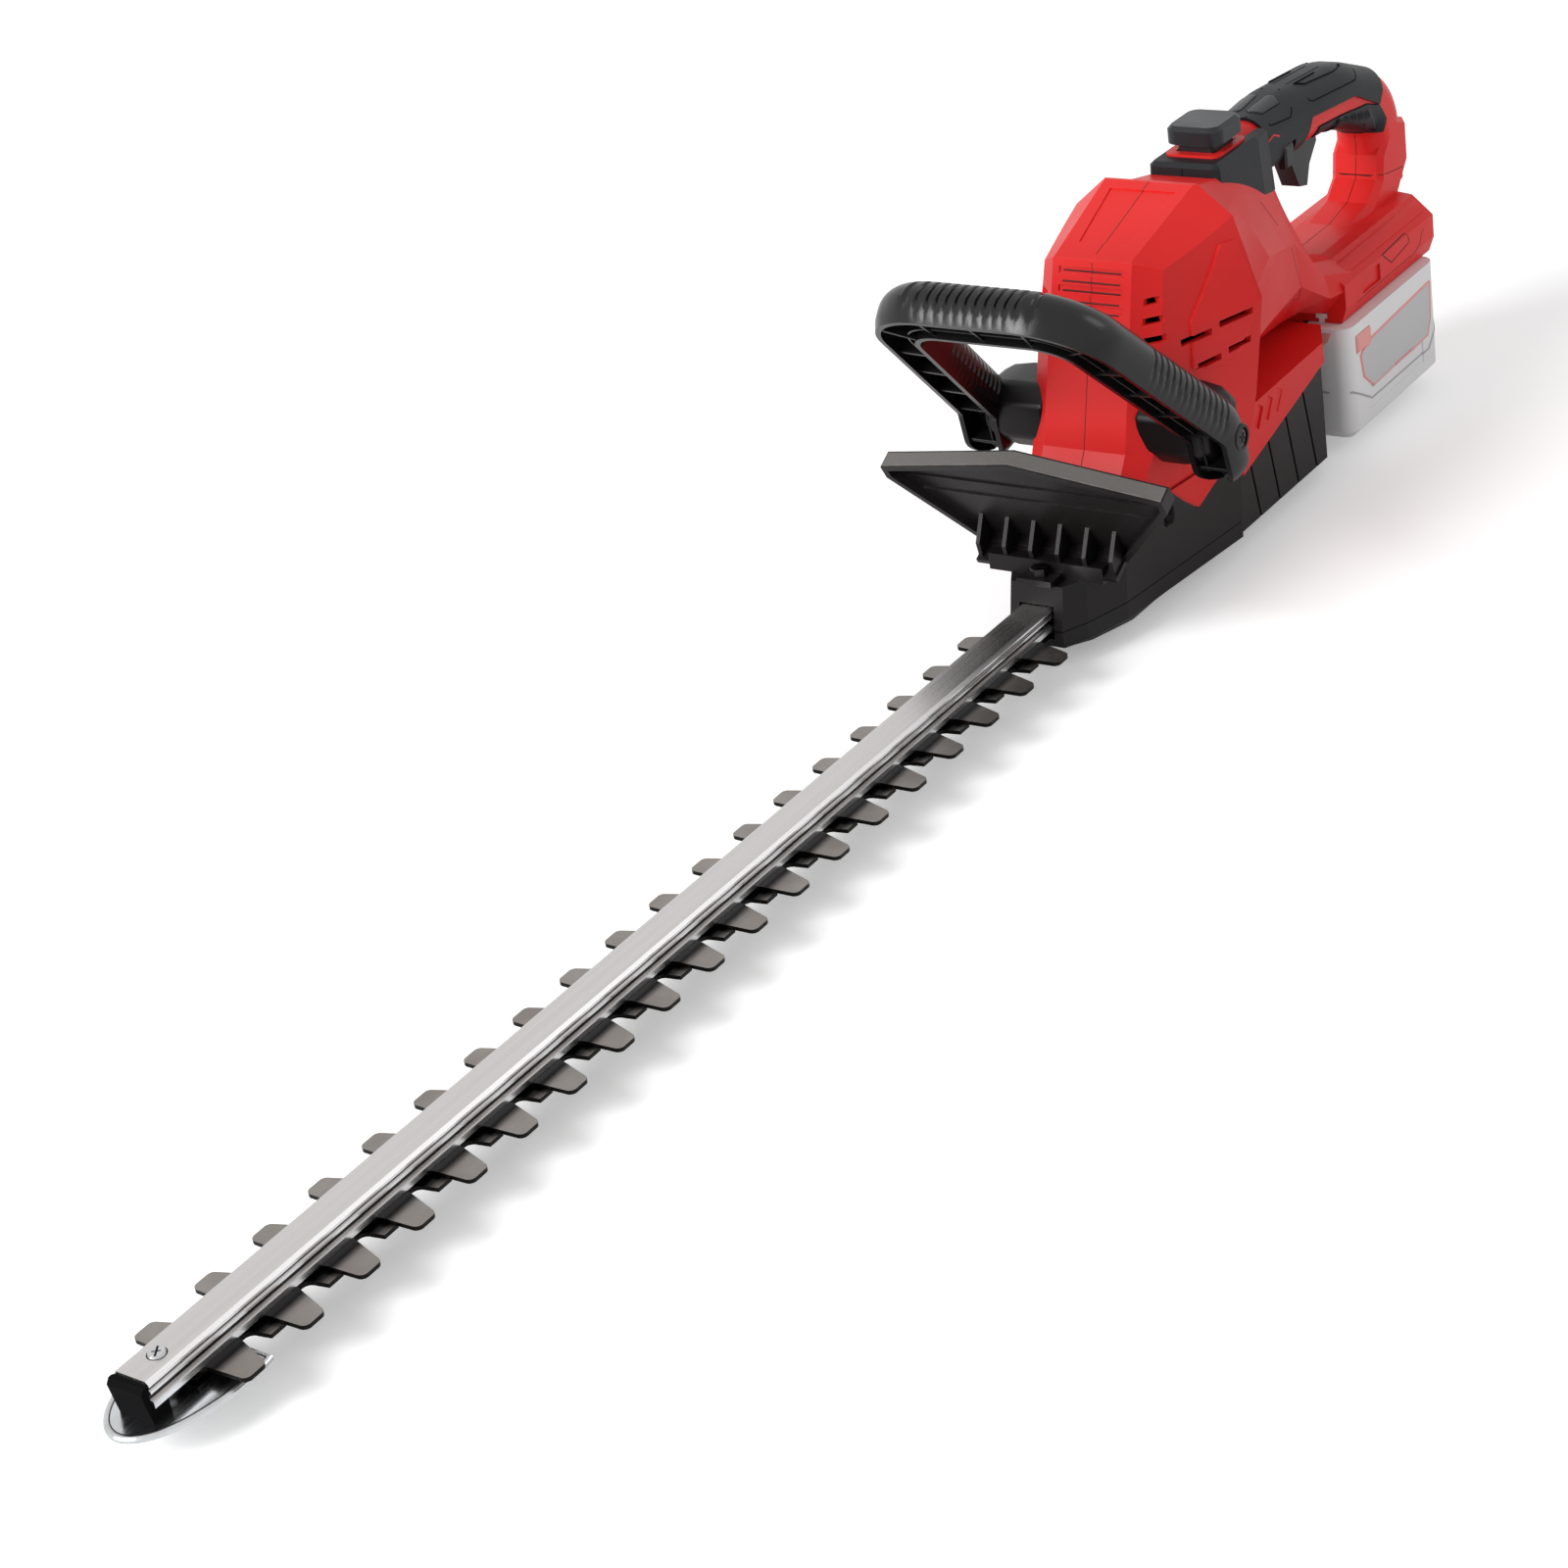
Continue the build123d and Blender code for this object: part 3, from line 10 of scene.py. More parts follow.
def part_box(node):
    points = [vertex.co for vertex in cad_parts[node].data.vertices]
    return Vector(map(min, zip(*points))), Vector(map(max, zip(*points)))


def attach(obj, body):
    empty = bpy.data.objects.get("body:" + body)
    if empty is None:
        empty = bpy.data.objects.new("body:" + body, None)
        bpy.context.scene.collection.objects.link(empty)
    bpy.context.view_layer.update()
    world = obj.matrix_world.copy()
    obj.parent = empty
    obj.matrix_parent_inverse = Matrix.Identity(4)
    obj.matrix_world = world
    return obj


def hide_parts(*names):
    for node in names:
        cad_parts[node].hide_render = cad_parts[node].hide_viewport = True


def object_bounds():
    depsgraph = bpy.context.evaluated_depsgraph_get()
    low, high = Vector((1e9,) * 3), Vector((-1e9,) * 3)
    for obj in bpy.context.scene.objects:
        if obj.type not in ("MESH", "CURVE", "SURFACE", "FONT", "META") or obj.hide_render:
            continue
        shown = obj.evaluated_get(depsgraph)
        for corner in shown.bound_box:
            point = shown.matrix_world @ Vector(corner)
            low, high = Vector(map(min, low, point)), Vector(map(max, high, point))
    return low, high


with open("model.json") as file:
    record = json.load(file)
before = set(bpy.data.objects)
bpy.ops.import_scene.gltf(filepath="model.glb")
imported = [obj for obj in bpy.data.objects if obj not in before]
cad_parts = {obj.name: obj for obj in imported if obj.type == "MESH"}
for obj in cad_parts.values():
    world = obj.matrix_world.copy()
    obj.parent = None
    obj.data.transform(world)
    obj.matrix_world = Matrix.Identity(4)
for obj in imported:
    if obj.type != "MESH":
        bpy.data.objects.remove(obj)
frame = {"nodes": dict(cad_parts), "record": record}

cadLow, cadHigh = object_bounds()
nodes = frame["nodes"]
print("hedge trimmer: frame loaded,", len(nodes), "nodes")


# shared effects, each built once as a node group

noiseLow, noiseHigh = 0.3, 0.7   # most of a noise lies between these


def newGroup(name, inputs, outputs):
    # inputs are (name, default) and outputs are names, all plain values
    group = bpy.data.node_groups.new(name, "ShaderNodeTree")
    for title, default in inputs:
        socket = group.interface.new_socket(title, in_out="INPUT", socket_type="NodeSocketFloat")
        socket.default_value = default
    for title in outputs:
        group.interface.new_socket(title, in_out="OUTPUT", socket_type="NodeSocketFloat")
    return group, group.nodes.new("NodeGroupInput"), group.nodes.new("NodeGroupOutput")


def addNode(tree, kind, inputs=None, **values):
    # inputs are sockets to link or fixed values, by the input's name or number
    node = tree.nodes.new(kind)
    for key, value in values.items():
        setattr(node, key, value)
    for title, source in (inputs or {}).items():
        if isinstance(source, bpy.types.NodeSocket):
            tree.links.new(source, node.inputs[title])
        else:
            node.inputs[title].default_value = source
    return node


def mathNode(tree, operation, *sources, clamp=False):
    inputs = dict(enumerate(sources))
    return addNode(tree, "ShaderNodeMath", inputs, operation=operation, use_clamp=clamp).outputs[0]


def vectorNode(tree, operation, first, second, title=1):
    return addNode(tree, "ShaderNodeVectorMath", {0: first, title: second}, operation=operation)


def splitVector(tree, vector):
    return addNode(tree, "ShaderNodeSeparateXYZ", {0: vector}).outputs


def rangeNode(tree, value, low, high, newLow=0.0, newHigh=1.0):
    ends = {"From Min": low, "From Max": high, "To Min": newLow, "To Max": newHigh}
    return addNode(tree, "ShaderNodeMapRange", {"Value": value, **ends}).outputs["Result"]


def noiseNode(tree, vector, scale, detail=3.0, roughness=0.5):
    inputs = {"Vector": vector, "Scale": scale, "Detail": detail, "Roughness": roughness}
    return addNode(tree, "ShaderNodeTexNoise", inputs).outputs["Fac"]


grainSetup = {
    "fine": 1900.0, "pits": 1300.0, "slow": 28.0, "broad": 9.0,   # noise periods to a metre
    "fineShare": 0.6, "pitShare": 0.5,
}


def mouldedGrainGroup(setup):
    # spark-eroded texture of moulded plastic: fine pits, and slow changes of sheen
    group, start, end = newGroup("mouldedGrain", [("Size", 1.0)], ["Height", "Sheen", "Tint"])
    place = addNode(group, "ShaderNodeTexCoord").outputs
    sized = vectorNode(group, "SCALE", place["Object"], start.outputs["Size"], "Scale")
    scaled = sized.outputs[0]
    pits = addNode(group, "ShaderNodeTexVoronoi", {"Vector": scaled, "Scale": setup["pits"]})
    fine = mathNode(group, "MULTIPLY", noiseNode(group, scaled, setup["fine"], 2.0), setup["fineShare"])
    deep = mathNode(group, "MULTIPLY", pits.outputs["Distance"], setup["pitShare"])
    group.links.new(mathNode(group, "ADD", fine, deep), end.inputs["Height"])
    group.links.new(noiseNode(group, scaled, setup["slow"], 4.0), end.inputs["Sheen"])
    group.links.new(noiseNode(group, scaled, setup["broad"], 2.0), end.inputs["Tint"])
    return group


wearSetup = {
    "radius": 0.0009, "samples": 4,
    "bend": (0.99, 0.82),   # cosine between the face and its rounded normal
    "noise": 160.0, "breaks": (0.42, 0.62),
}


def edgeWearGroup(setup):
    # mask that is 1 on rubbed edges and corners, broken up by noise
    group, start, end = newGroup("edgeWear", [("Amount", 0.5)], ["Mask"])
    place = addNode(group, "ShaderNodeTexCoord").outputs
    bevel = addNode(group, "ShaderNodeBevel", {"Radius": setup["radius"]}, samples=setup["samples"])
    geometry = addNode(group, "ShaderNodeNewGeometry")
    dot = vectorNode(group, "DOT_PRODUCT", bevel.outputs[0], geometry.outputs["Normal"])
    bend = rangeNode(group, dot.outputs["Value"], *setup["bend"])
    noise = noiseNode(group, place["Object"], setup["noise"], 4.0, 0.65)
    breaks = rangeNode(group, noise, *setup["breaks"])
    rubbed = mathNode(group, "MULTIPLY", bend, breaks)
    mask = mathNode(group, "MULTIPLY", rubbed, start.outputs["Amount"], clamp=True)
    group.links.new(mask, end.inputs["Mask"])
    return group


linesSetup = {"lines": (6.0, 1400.0, 1400.0), "streaks": (3.0, 260.0, 120.0)}   # periods to a metre


def drawnLinesGroup(setup):
    # long fine lines left by drawing, rolling or grinding, along X
    group, start, end = newGroup("drawnLines", [("Fineness", 1.0)], ["Lines", "Streaks"])
    place = addNode(group, "ShaderNodeTexCoord").outputs
    stretched = vectorNode(group, "MULTIPLY", place["Object"], setup["lines"])
    fine = vectorNode(group, "SCALE", stretched.outputs[0], start.outputs["Fineness"], "Scale")
    wide = vectorNode(group, "MULTIPLY", place["Object"], setup["streaks"])
    group.links.new(noiseNode(group, fine.outputs[0], 1.0, 3.0, 0.6), end.inputs["Lines"])
    group.links.new(noiseNode(group, wide.outputs[0], 1.0, 2.0, 0.4), end.inputs["Streaks"])
    return group


dustSetup = {
    "up": (0.2, 1.0), "least": 0.15,   # from steep faces to level ones
    "noise": 45.0, "cloud": (0.4, 0.75),
}


def dustGroup(setup):
    # thin dust that settles on faces turned up
    group, start, end = newGroup("dustFilm", [("Amount", 0.1)], ["Mask"])
    place = addNode(group, "ShaderNodeTexCoord").outputs
    level = splitVector(group, place["Normal"])["Z"]
    up = rangeNode(group, level, *setup["up"], setup["least"], 1.0)
    noise = noiseNode(group, place["Object"], setup["noise"], 5.0, 0.7)
    cloud = rangeNode(group, noise, *setup["cloud"])
    settled = mathNode(group, "MULTIPLY", up, cloud)
    mask = mathNode(group, "MULTIPLY", settled, start.outputs["Amount"], clamp=True)
    group.links.new(mask, end.inputs["Mask"])
    return group


mouldedGrain = mouldedGrainGroup(grainSetup)
edgeWear = edgeWearGroup(wearSetup)
drawnLines = drawnLinesGroup(linesSetup)
dustFilm = dustGroup(dustSetup)
print("hedge trimmer: shared effects ready")


# finishes

def useGroup(tree, group, **inputs):
    return addNode(tree, "ShaderNodeGroup", inputs, node_tree=group).outputs


def mixColour(tree, mask, first, second):
    # first and second are colours as (r, g, b) or sockets; 6, 7 and 2 are the mix's colour sockets
    ends = [(*end, 1.0) if isinstance(end, tuple) else end for end in (first, second)]
    inputs = {"Factor": mask, 6: ends[0], 7: ends[1]}
    return addNode(tree, "ShaderNodeMix", inputs, data_type="RGBA").outputs[2]


def newFinish(name):
    finish = bpy.data.materials.new(name)
    finish.use_nodes = True
    return finish, finish.node_tree, finish.node_tree.nodes["Principled BSDF"]


def joinShader(tree, shader, base, gloss, height, strength, distance):
    tree.links.new(base, shader.inputs["Base Color"])
    tree.links.new(gloss, shader.inputs["Roughness"])
    bump = addNode(
        tree, "ShaderNodeBump", {"Strength": strength, "Distance": distance, "Height": height},
    )
    tree.links.new(bump.outputs["Normal"], shader.inputs["Normal"])


def makeMetallic(shader, anisotropic=0.0):
    shader.inputs["Metallic"].default_value = 1.0
    shader.inputs["Anisotropic"].default_value = anisotropic


def glossFrom(tree, noise, roughness, spread):
    # roughness that wanders below and above its middle value
    below, above = spread
    return rangeNode(tree, noise, noiseLow, noiseHigh, roughness - below, roughness + above)


plasticSetup = {"spread": (0.05, 0.07), "rubbedShine": 0.12, "bump": 0.0004}


def mouldedPlastic(
    name, colour, deep, rubbed, dusty, roughness,
    grain=1.0, depth=0.12, wear=0.5, dust=0.1, specular=0.25, setup=plasticSetup,
):
    # colour where it is raised and in its pits, on rubbed edges and under dust
    finish, tree, shader = newFinish(name)
    skin = useGroup(tree, mouldedGrain, Size=grain)
    worn = useGroup(tree, edgeWear, Amount=wear)
    film = useGroup(tree, dustFilm, Amount=dust)
    tint = rangeNode(tree, skin["Tint"], noiseLow, noiseHigh)
    base = mixColour(tree, tint, deep, colour)
    base = mixColour(tree, worn["Mask"], base, rubbed)
    base = mixColour(tree, film["Mask"], base, dusty)
    gloss = glossFrom(tree, skin["Sheen"], roughness, setup["spread"])
    shine = mathNode(tree, "MULTIPLY", worn["Mask"], setup["rubbedShine"])
    gloss = mathNode(tree, "SUBTRACT", gloss, shine)
    shader.inputs["Specular IOR Level"].default_value = specular
    joinShader(tree, shader, base, gloss, skin["Height"], depth, setup["bump"])
    return finish


metalSetup = {"spread": (0.06, 0.08), "streaks": (0.35, 0.65), "wornGain": 1.25, "bump": 0.0002}


def drawnMetal(
    name, bright, dark, roughness, fineness=0.5, streak=0.4,
    wear=0.4, anisotropic=0.1, depth=0.08, setup=metalSetup,
):
    finish, tree, shader = newFinish(name)
    lines = useGroup(tree, drawnLines, Fineness=fineness)
    worn = useGroup(tree, edgeWear, Amount=wear)
    band = rangeNode(tree, lines["Streaks"], *setup["streaks"], 0.0, streak)
    base = mixColour(tree, band, bright, dark)
    polished = tuple(min(1.0, value * setup["wornGain"]) for value in bright)
    base = mixColour(tree, worn["Mask"], base, polished)
    makeMetallic(shader, anisotropic)
    gloss = glossFrom(tree, lines["Lines"], roughness, setup["spread"])
    joinShader(tree, shader, base, gloss, lines["Lines"], depth, setup["bump"])
    return finish


def bandMask(tree, height, low, high, soft):
    # 1 between two heights, with soft ends
    rise = rangeNode(tree, height, low - soft, low + soft)
    fall = rangeNode(tree, height, high - soft, high + soft, 1.0, 0.0)
    return mathNode(tree, "MULTIPLY", rise, fall)


def facesUp(tree, place, low, high):
    # 1 on level faces, turned up or down
    level = splitVector(tree, place["Normal"])["Z"]
    return rangeNode(tree, mathNode(tree, "ABSOLUTE", level), low, high)


barFinish = {
    "bright": (0.60, 0.580, 0.572), "shade": (0.54, 0.520, 0.515),
    # the side colour is a painted highlight on faces that look sideways, and the near-black colour is painted
    # shade in the side grooves
    "side": (0.80, 0.80, 0.81), "grime": (0.030, 0.030, 0.032),
    "level": (0.5, 0.9), "streaks": (0.35, 0.65), "streak": 0.6,
    "roughness": 0.27, "spread": (0.03, 0.05), "anisotropic": 0.2,
    "grooves": [(0.0028, 0.0051), (0.0070, 0.0082)], "soft": 0.0003,   # above the bar's underside
    "depth": 0.02, "bump": 0.0001,
}


def barAlloy(setup):
    # satin drawn bar: calm flat top, sideways faces painted brighter as a painted highlight, painted shade in
    # the side grooves
    finish, tree, shader = newFinish("barAlloy")
    lines = useGroup(tree, drawnLines, Fineness=1.0)
    place = addNode(tree, "ShaderNodeTexCoord").outputs
    upward = facesUp(tree, place, *setup["level"])
    streak = rangeNode(tree, lines["Streaks"], *setup["streaks"], 0.0, setup["streak"])
    top = mixColour(tree, streak, setup["bright"], setup["shade"])
    # painted highlight: faces that look sideways take the brighter side colour
    base = mixColour(tree, upward, setup["side"], top)
    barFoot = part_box("guide_bar")[0].z
    height = mathNode(tree, "SUBTRACT", splitVector(tree, place["Object"])["Z"], barFoot)
    sideways = mathNode(tree, "SUBTRACT", 1.0, upward)
    # painted shade: dark bands on the sideways faces, at the heights of the side grooves
    for low, high in setup["grooves"]:
        band = bandMask(tree, height, low, high, setup["soft"])
        base = mixColour(tree, mathNode(tree, "MULTIPLY", band, sideways), base, setup["grime"])
    makeMetallic(shader, setup["anisotropic"])
    gloss = glossFrom(tree, lines["Lines"], setup["roughness"], setup["spread"])
    joinShader(tree, shader, base, gloss, lines["Lines"], setup["depth"], setup["bump"])
    return finish


cutterFinish = {
    "face": (0.235, 0.212, 0.195), "light": (0.30, 0.275, 0.255),
    # the darkest colour is the painted shadow of the bar on the blades close beside it
    "flank": (0.014, 0.013, 0.012), "oil": (0.010, 0.009, 0.009),
    "level": (0.35, 0.8), "noise": 60.0, "stain": (0.35, 0.7),
    "fade": (0.0135, 0.0172), "ragged": 0.002,   # half widths over which the painted shadow of the bar fades out
    "grind": 2600.0, "roughness": 0.36, "spread": (0.05, 0.08),
    "depth": 0.06, "bump": 0.0001,
}


def cutterSteel(setup):
    # ground flats, near-black flanks, and a painted shadow of the bar: a dark band beside it
    finish, tree, shader = newFinish("cutterSteel")
    place = addNode(tree, "ShaderNodeTexCoord").outputs
    cloud = noiseNode(tree, place["Object"], setup["noise"], 3.0, 0.5)
    stain = rangeNode(tree, cloud, *setup["stain"])
    base = mixColour(tree, stain, setup["light"], setup["face"])
    # painted shadow of the bar: dark near the middle line, fading out between the fade widths, with a ragged
    # edge
    aside = mathNode(tree, "ABSOLUTE", splitVector(tree, place["Object"])["Y"])
    ragged = mathNode(tree, "ADD", aside, mathNode(tree, "MULTIPLY", cloud, setup["ragged"]))
    oil = rangeNode(tree, ragged, *setup["fade"], 1.0, 0.0)
    base = mixColour(tree, oil, base, setup["oil"])
    base = mixColour(tree, facesUp(tree, place, *setup["level"]), setup["flank"], base)
    makeMetallic(shader)
    grind = noiseNode(tree, place["Object"], setup["grind"], 2.0, 0.5)
    gloss = glossFrom(tree, grind, setup["roughness"], setup["spread"])
    joinShader(tree, shader, base, gloss, grind, setup["depth"], setup["bump"])
    return finish


# colours of each moulded finish: raised, in its pits, on rubbed edges and under dust; then roughness
plastics = {
    "red_shell": (
        (0.76, 0.021, 0.019), (0.65, 0.014, 0.014), (0.86, 0.12, 0.10), (0.68, 0.10, 0.08), 0.36,
        {"depth": 0.07, "wear": 0.3, "dust": 0.03, "specular": 0.18},
    ),
    "black_shell": (
        (0.0110, 0.0088, 0.0090), (0.0068, 0.0054, 0.0058), (0.050, 0.045, 0.043), (0.036, 0.032, 0.030), 0.36,
        {"grain": 0.9, "wear": 0.45, "dust": 0.06, "specular": 0.22},
    ),
    "soft_grip": (
        (0.0115, 0.0130, 0.0155), (0.0075, 0.0088, 0.0110), (0.034, 0.035, 0.038), (0.040, 0.040, 0.040), 0.47,
        {"grain": 0.6, "depth": 0.22, "wear": 0.3, "dust": 0.06, "specular": 0.22},
    ),
    "black_button": (
        (0.016, 0.018, 0.021), (0.011, 0.013, 0.016), (0.07, 0.07, 0.075), (0.06, 0.06, 0.06), 0.33,
        {"grain": 1.2, "depth": 0.08, "dust": 0.05, "specular": 0.3},
    ),
    "pack_shell": (
        (0.82, 0.82, 0.83), (0.78, 0.78, 0.79), (0.84, 0.84, 0.84), (0.70, 0.69, 0.68), 0.45,
        {"depth": 0.08, "wear": 0.3, "dust": 0.04},
    ),
    "latch_plastic": (
        (0.86, 0.38, 0.36), (0.80, 0.32, 0.30), (0.9, 0.5, 0.48), (0.8, 0.5, 0.48), 0.42,
        {"wear": 0.3, "dust": 0.04},
    ),
    "fan_plastic": (
        (0.03, 0.03, 0.034), (0.02, 0.02, 0.022), (0.06, 0.06, 0.06), (0.08, 0.08, 0.08), 0.5,
        {},
    ),
    "cell_wrap": (
        (0.10, 0.30, 0.42), (0.08, 0.25, 0.36), (0.2, 0.4, 0.5), (0.2, 0.3, 0.35), 0.3,
        {"depth": 0.03},
    ),
}

# bright and dark colour of each drawn metal, and roughness
metals = {
    "skid_steel": (
        (0.62, 0.635, 0.65), (0.48, 0.49, 0.50), 0.20,
        {"fineness": 0.4, "wear": 0.2, "depth": 0.02},
    ),
    "screw_steel": ((0.60, 0.60, 0.61), (0.42, 0.42, 0.43), 0.28, {}),
    "dark_screw": ((0.055, 0.053, 0.052), (0.025, 0.024, 0.023), 0.36, {"wear": 0.7}),
    "gear_steel": ((0.52, 0.52, 0.54), (0.34, 0.34, 0.35), 0.3, {}),
    "motor_steel": ((0.48, 0.49, 0.51), (0.35, 0.35, 0.36), 0.34, {"wear": 0.3}),
    "deck_alloy": (
        (0.6, 0.6, 0.61), (0.45, 0.45, 0.46), 0.45,
        {"fineness": 0.3, "wear": 0.3, "anisotropic": 0.0},
    ),
    "contact_brass": ((0.78, 0.58, 0.26), (0.6, 0.42, 0.18), 0.28, {"wear": 0.3}),
}

# the same for the moulded finishes of the added trim, and of the tip block
trimPlastics = {
    "gripPlastic": (
        (0.0070, 0.0066, 0.0070), (0.0045, 0.0042, 0.0046), (0.040, 0.037, 0.035), (0.022, 0.020, 0.019), 0.24,
        {"grain": 0.8, "depth": 0.08, "wear": 0.3, "dust": 0.02, "specular": 0.34},
    ),
    "noseRubber": (
        (0.0042, 0.0042, 0.0046), (0.0028, 0.0028, 0.0032), (0.02, 0.02, 0.02), (0.015, 0.015, 0.015), 0.6,
        {"grain": 0.7, "depth": 0.15, "wear": 0.3, "dust": 0.0, "specular": 0.02},
    ),
    # dark red of seams and lines, and of painted shade in the louvres
    "redSeam": (
        (0.110, 0.006, 0.006), (0.075, 0.004, 0.004), (0.20, 0.02, 0.02), (0.12, 0.03, 0.03), 0.6,
        {"depth": 0.05, "wear": 0.1},
    ),
    # dark finish of seams and lines, and of painted shade in screw recesses, the tip screw's slot and ring,
    # and inside the skid plate's bead
    "blackSeam": (
        (0.0022, 0.0020, 0.0020), (0.0012, 0.0012, 0.0012), (0.01, 0.01, 0.01), (0.01, 0.01, 0.01), 0.7,
        {"depth": 0.05, "wear": 0.1, "dust": 0.02, "specular": 0.1},
    ),
    "rimTexture": (
        (0.135, 0.126, 0.120), (0.090, 0.084, 0.080), (0.24, 0.23, 0.22), (0.15, 0.14, 0.13), 0.42,
        {"grain": 0.45, "depth": 0.5, "wear": 0.6, "specular": 0.4},
    ),
    "packPanel": (
        (0.585, 0.585, 0.59), (0.55, 0.55, 0.555), (0.7, 0.7, 0.7), (0.56, 0.55, 0.54), 0.5,
        {"depth": 0.08, "wear": 0.2},
    ),
    "packLine": (
        (0.42, 0.42, 0.43), (0.38, 0.38, 0.39), (0.6, 0.6, 0.6), (0.5, 0.5, 0.5), 0.5,
        {"depth": 0.05, "wear": 0.2},
    ),
}


def finishName(slotName):
    first, *rest = slotName.split("_")
    return first + "".join(word.title() for word in rest)


def makeFinishes(maker, rows):
    return {key: maker(finishName(key), *row[:-1], **row[-1]) for key, row in rows.items()}


# one finish for each slot
finishes = makeFinishes(mouldedPlastic, plastics)
finishes["bar_alloy"] = barAlloy(barFinish)
finishes.update(makeFinishes(drawnMetal, metals))
finishes["blade_steel"] = cutterSteel(cutterFinish)
trim = makeFinishes(mouldedPlastic, trimPlastics)

slotOf = {row["node"]: row["material_slot"] for row in frame["record"]["subparts"]}
for name, item in nodes.items():
    item.data.materials.clear()
    item.data.materials.append(finishes[slotOf[name]])
nodes["tip_block"].data.materials[0] = trim["noseRubber"]
print("hedge trimmer: finishes on", len(nodes), "nodes")


# edge rounding on the carried-over solids, widths in metres
edgeRounding = {
    "body_left": 0.0016, "body_right": 0.0016,
    "gear_case_lower": 0.0013, "gear_case_upper": 0.0011, "tail_cover": 0.0010,
    "hand_guard": 0.0007, "handle_left": 0.0014, "handle_right": 0.0014, "handle_collar": 0.0011,
    "rotation_button": 0.0010, "trigger": 0.0010, "lock_slider": 0.0004,
    "pack_lower": 0.0010, "pack_upper": 0.0008, "latch_left": 0.0004, "latch_right": 0.0004,
    "guide_bar": 0.0003, "upper_blade": 0.00025, "lower_blade": 0.00025,
    "tip_plate": 0.0004, "tip_block": 0.0006, "tip_screw": 0.0002,
    "guard_screw": 0.0004, "case_screws": 0.0003, "motor_can": 0.0005, "drive_gear": 0.0002,
}


def roundEdges(item, width, angle=30.0, segments=3):
    bevel = item.modifiers.new("edgeRound", "BEVEL")
    bevel.width = width
    bevel.segments = segments
    bevel.limit_method = "ANGLE"
    bevel.angle_limit = math.radians(angle)
    bevel.use_clamp_overlap = True
    bevel.harden_normals = False
    normals = item.modifiers.new("faceNormals", "WEIGHTED_NORMAL")
    normals.keep_sharp = False
    normals.weight = 80


for name, width in edgeRounding.items():
    roundEdges(nodes[name], width)


# making of added pieces; their dictionaries give millimetres, unless they say metres

sides = ((1, "Left"), (-1, "Right"))


def toMetres(point):
    return Vector(point) / 1000.0


def addObject(name, data):
    item = bpy.data.objects.new(name, data)
    bpy.context.scene.collection.objects.link(item)
    return item


def skinOn(body, slotName, finish=None):
    # what a piece is made of: its finish, its slot and the body that it rides on
    return finish or finishes[slotName], slotName, body


def makePiece(name, vertices, faces, skin, smooth=38.0):
    finish, slotName, body = skin
    mesh = bpy.data.meshes.new(name)
    mesh.from_pydata([tuple(v) for v in vertices], [], faces)
    mesh.materials.append(finish)
    mesh.validate()
    for face in mesh.polygons:
        face.use_smooth = True
    mesh.set_sharp_from_angle(angle=math.radians(smooth))
    piece = addObject(name, mesh)
    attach(piece, body)
    return piece


def tubeFaces(count, size, closed=False, start=0):
    # faces of a tube of count rows with size points each, with flat ends unless it closes
    faces = []
    for i in range(count if closed else count - 1):
        near, far = start + i * size, start + (i + 1) % count * size
        faces += [[near + k, near + (k + 1) % size, far + (k + 1) % size, far + k] for k in range(size)]
    if not closed:
        last = start + (count - 1) * size
        faces += [list(range(start, start + size))[::-1], list(range(last, last + size))]
    return faces


searchTrees = {}


def surfaceOf(names):
    # one search tree over the rest meshes of these solids
    key = tuple(names)
    if key not in searchTrees:
        vertices, faces = [], []
        for name in names:
            mesh = nodes[name].data
            start = len(vertices)
            vertices += [v.co.copy() for v in mesh.vertices]
            faces += [[start + i for i in face.vertices] for face in mesh.polygons]
        searchTrees[key] = BVHTree.FromPolygons(vertices, faces)
    return searchTrees[key]


def evenPoints(points, step, closed=False):
    # points along a polyline, corners kept
    ends = points[1:] + ([points[0]] if closed else [])
    found = []
    for start, end in zip(points, ends):
        count = max(1, math.ceil((end - start).length / step))
        found += [start.lerp(end, i / count) for i in range(count)]
    if not closed:
        found.append(points[-1])
    return found


def sided(points, side):
    return [(x, side * y, z) for x, y, z in points]


stripSetup = {   # metres
    "castFrom": 0.012, "castReach": 0.03, "least": 0.0002, "root": -0.0004,
    "flank": 0.3,   # share of the lift below the sloped shoulders
}


def surfaceStrip(
    name, on, points, skin, width, lift, closed=False, step=1.6, facing=None, setup=stripSetup,
):
    # a line of trim that follows the surface: flat top, sloped sides, root sunk in the solid
    # with no solids named it lies on the points themselves, and its top looks along facing
    spots = []
    look = Vector(facing).normalized() if facing else None
    for point in evenPoints([toMetres(p) for p in points], step / 1000, closed):
        place, normal = point, look
        if on and look:
            start = point + look * setup["castFrom"]
            place, normal = surfaceOf(on).ray_cast(start, -look, setup["castReach"])[:2]
        elif on:
            place, normal = surfaceOf(on).find_nearest(point)[:2]
        if place is None:
            continue
        if not spots or (place - spots[-1][0]).length > setup["least"]:
            spots.append((place, normal))
    half, high, root = width / 2000, lift / 1000, setup["root"]
    slope = min(high, half / 2)
    left = [(-half, root), (-half, high * setup["flank"]), (-half + slope, high)]
    section = left + [(-across, height) for across, height in left[::-1]]
    vertices = []
    total = len(spots)
    for i, (place, normal) in enumerate(spots):
        before = spots[(i - 1) % total][0] if closed or i else place
        after = spots[(i + 1) % total][0] if closed or i < total - 1 else place
        side = normal.cross((after - before).normalized()).normalized()
        vertices += [place + side * s + normal * h for s, h in section]
    return makePiece(name, vertices, tubeFaces(total, len(section), closed), skin)


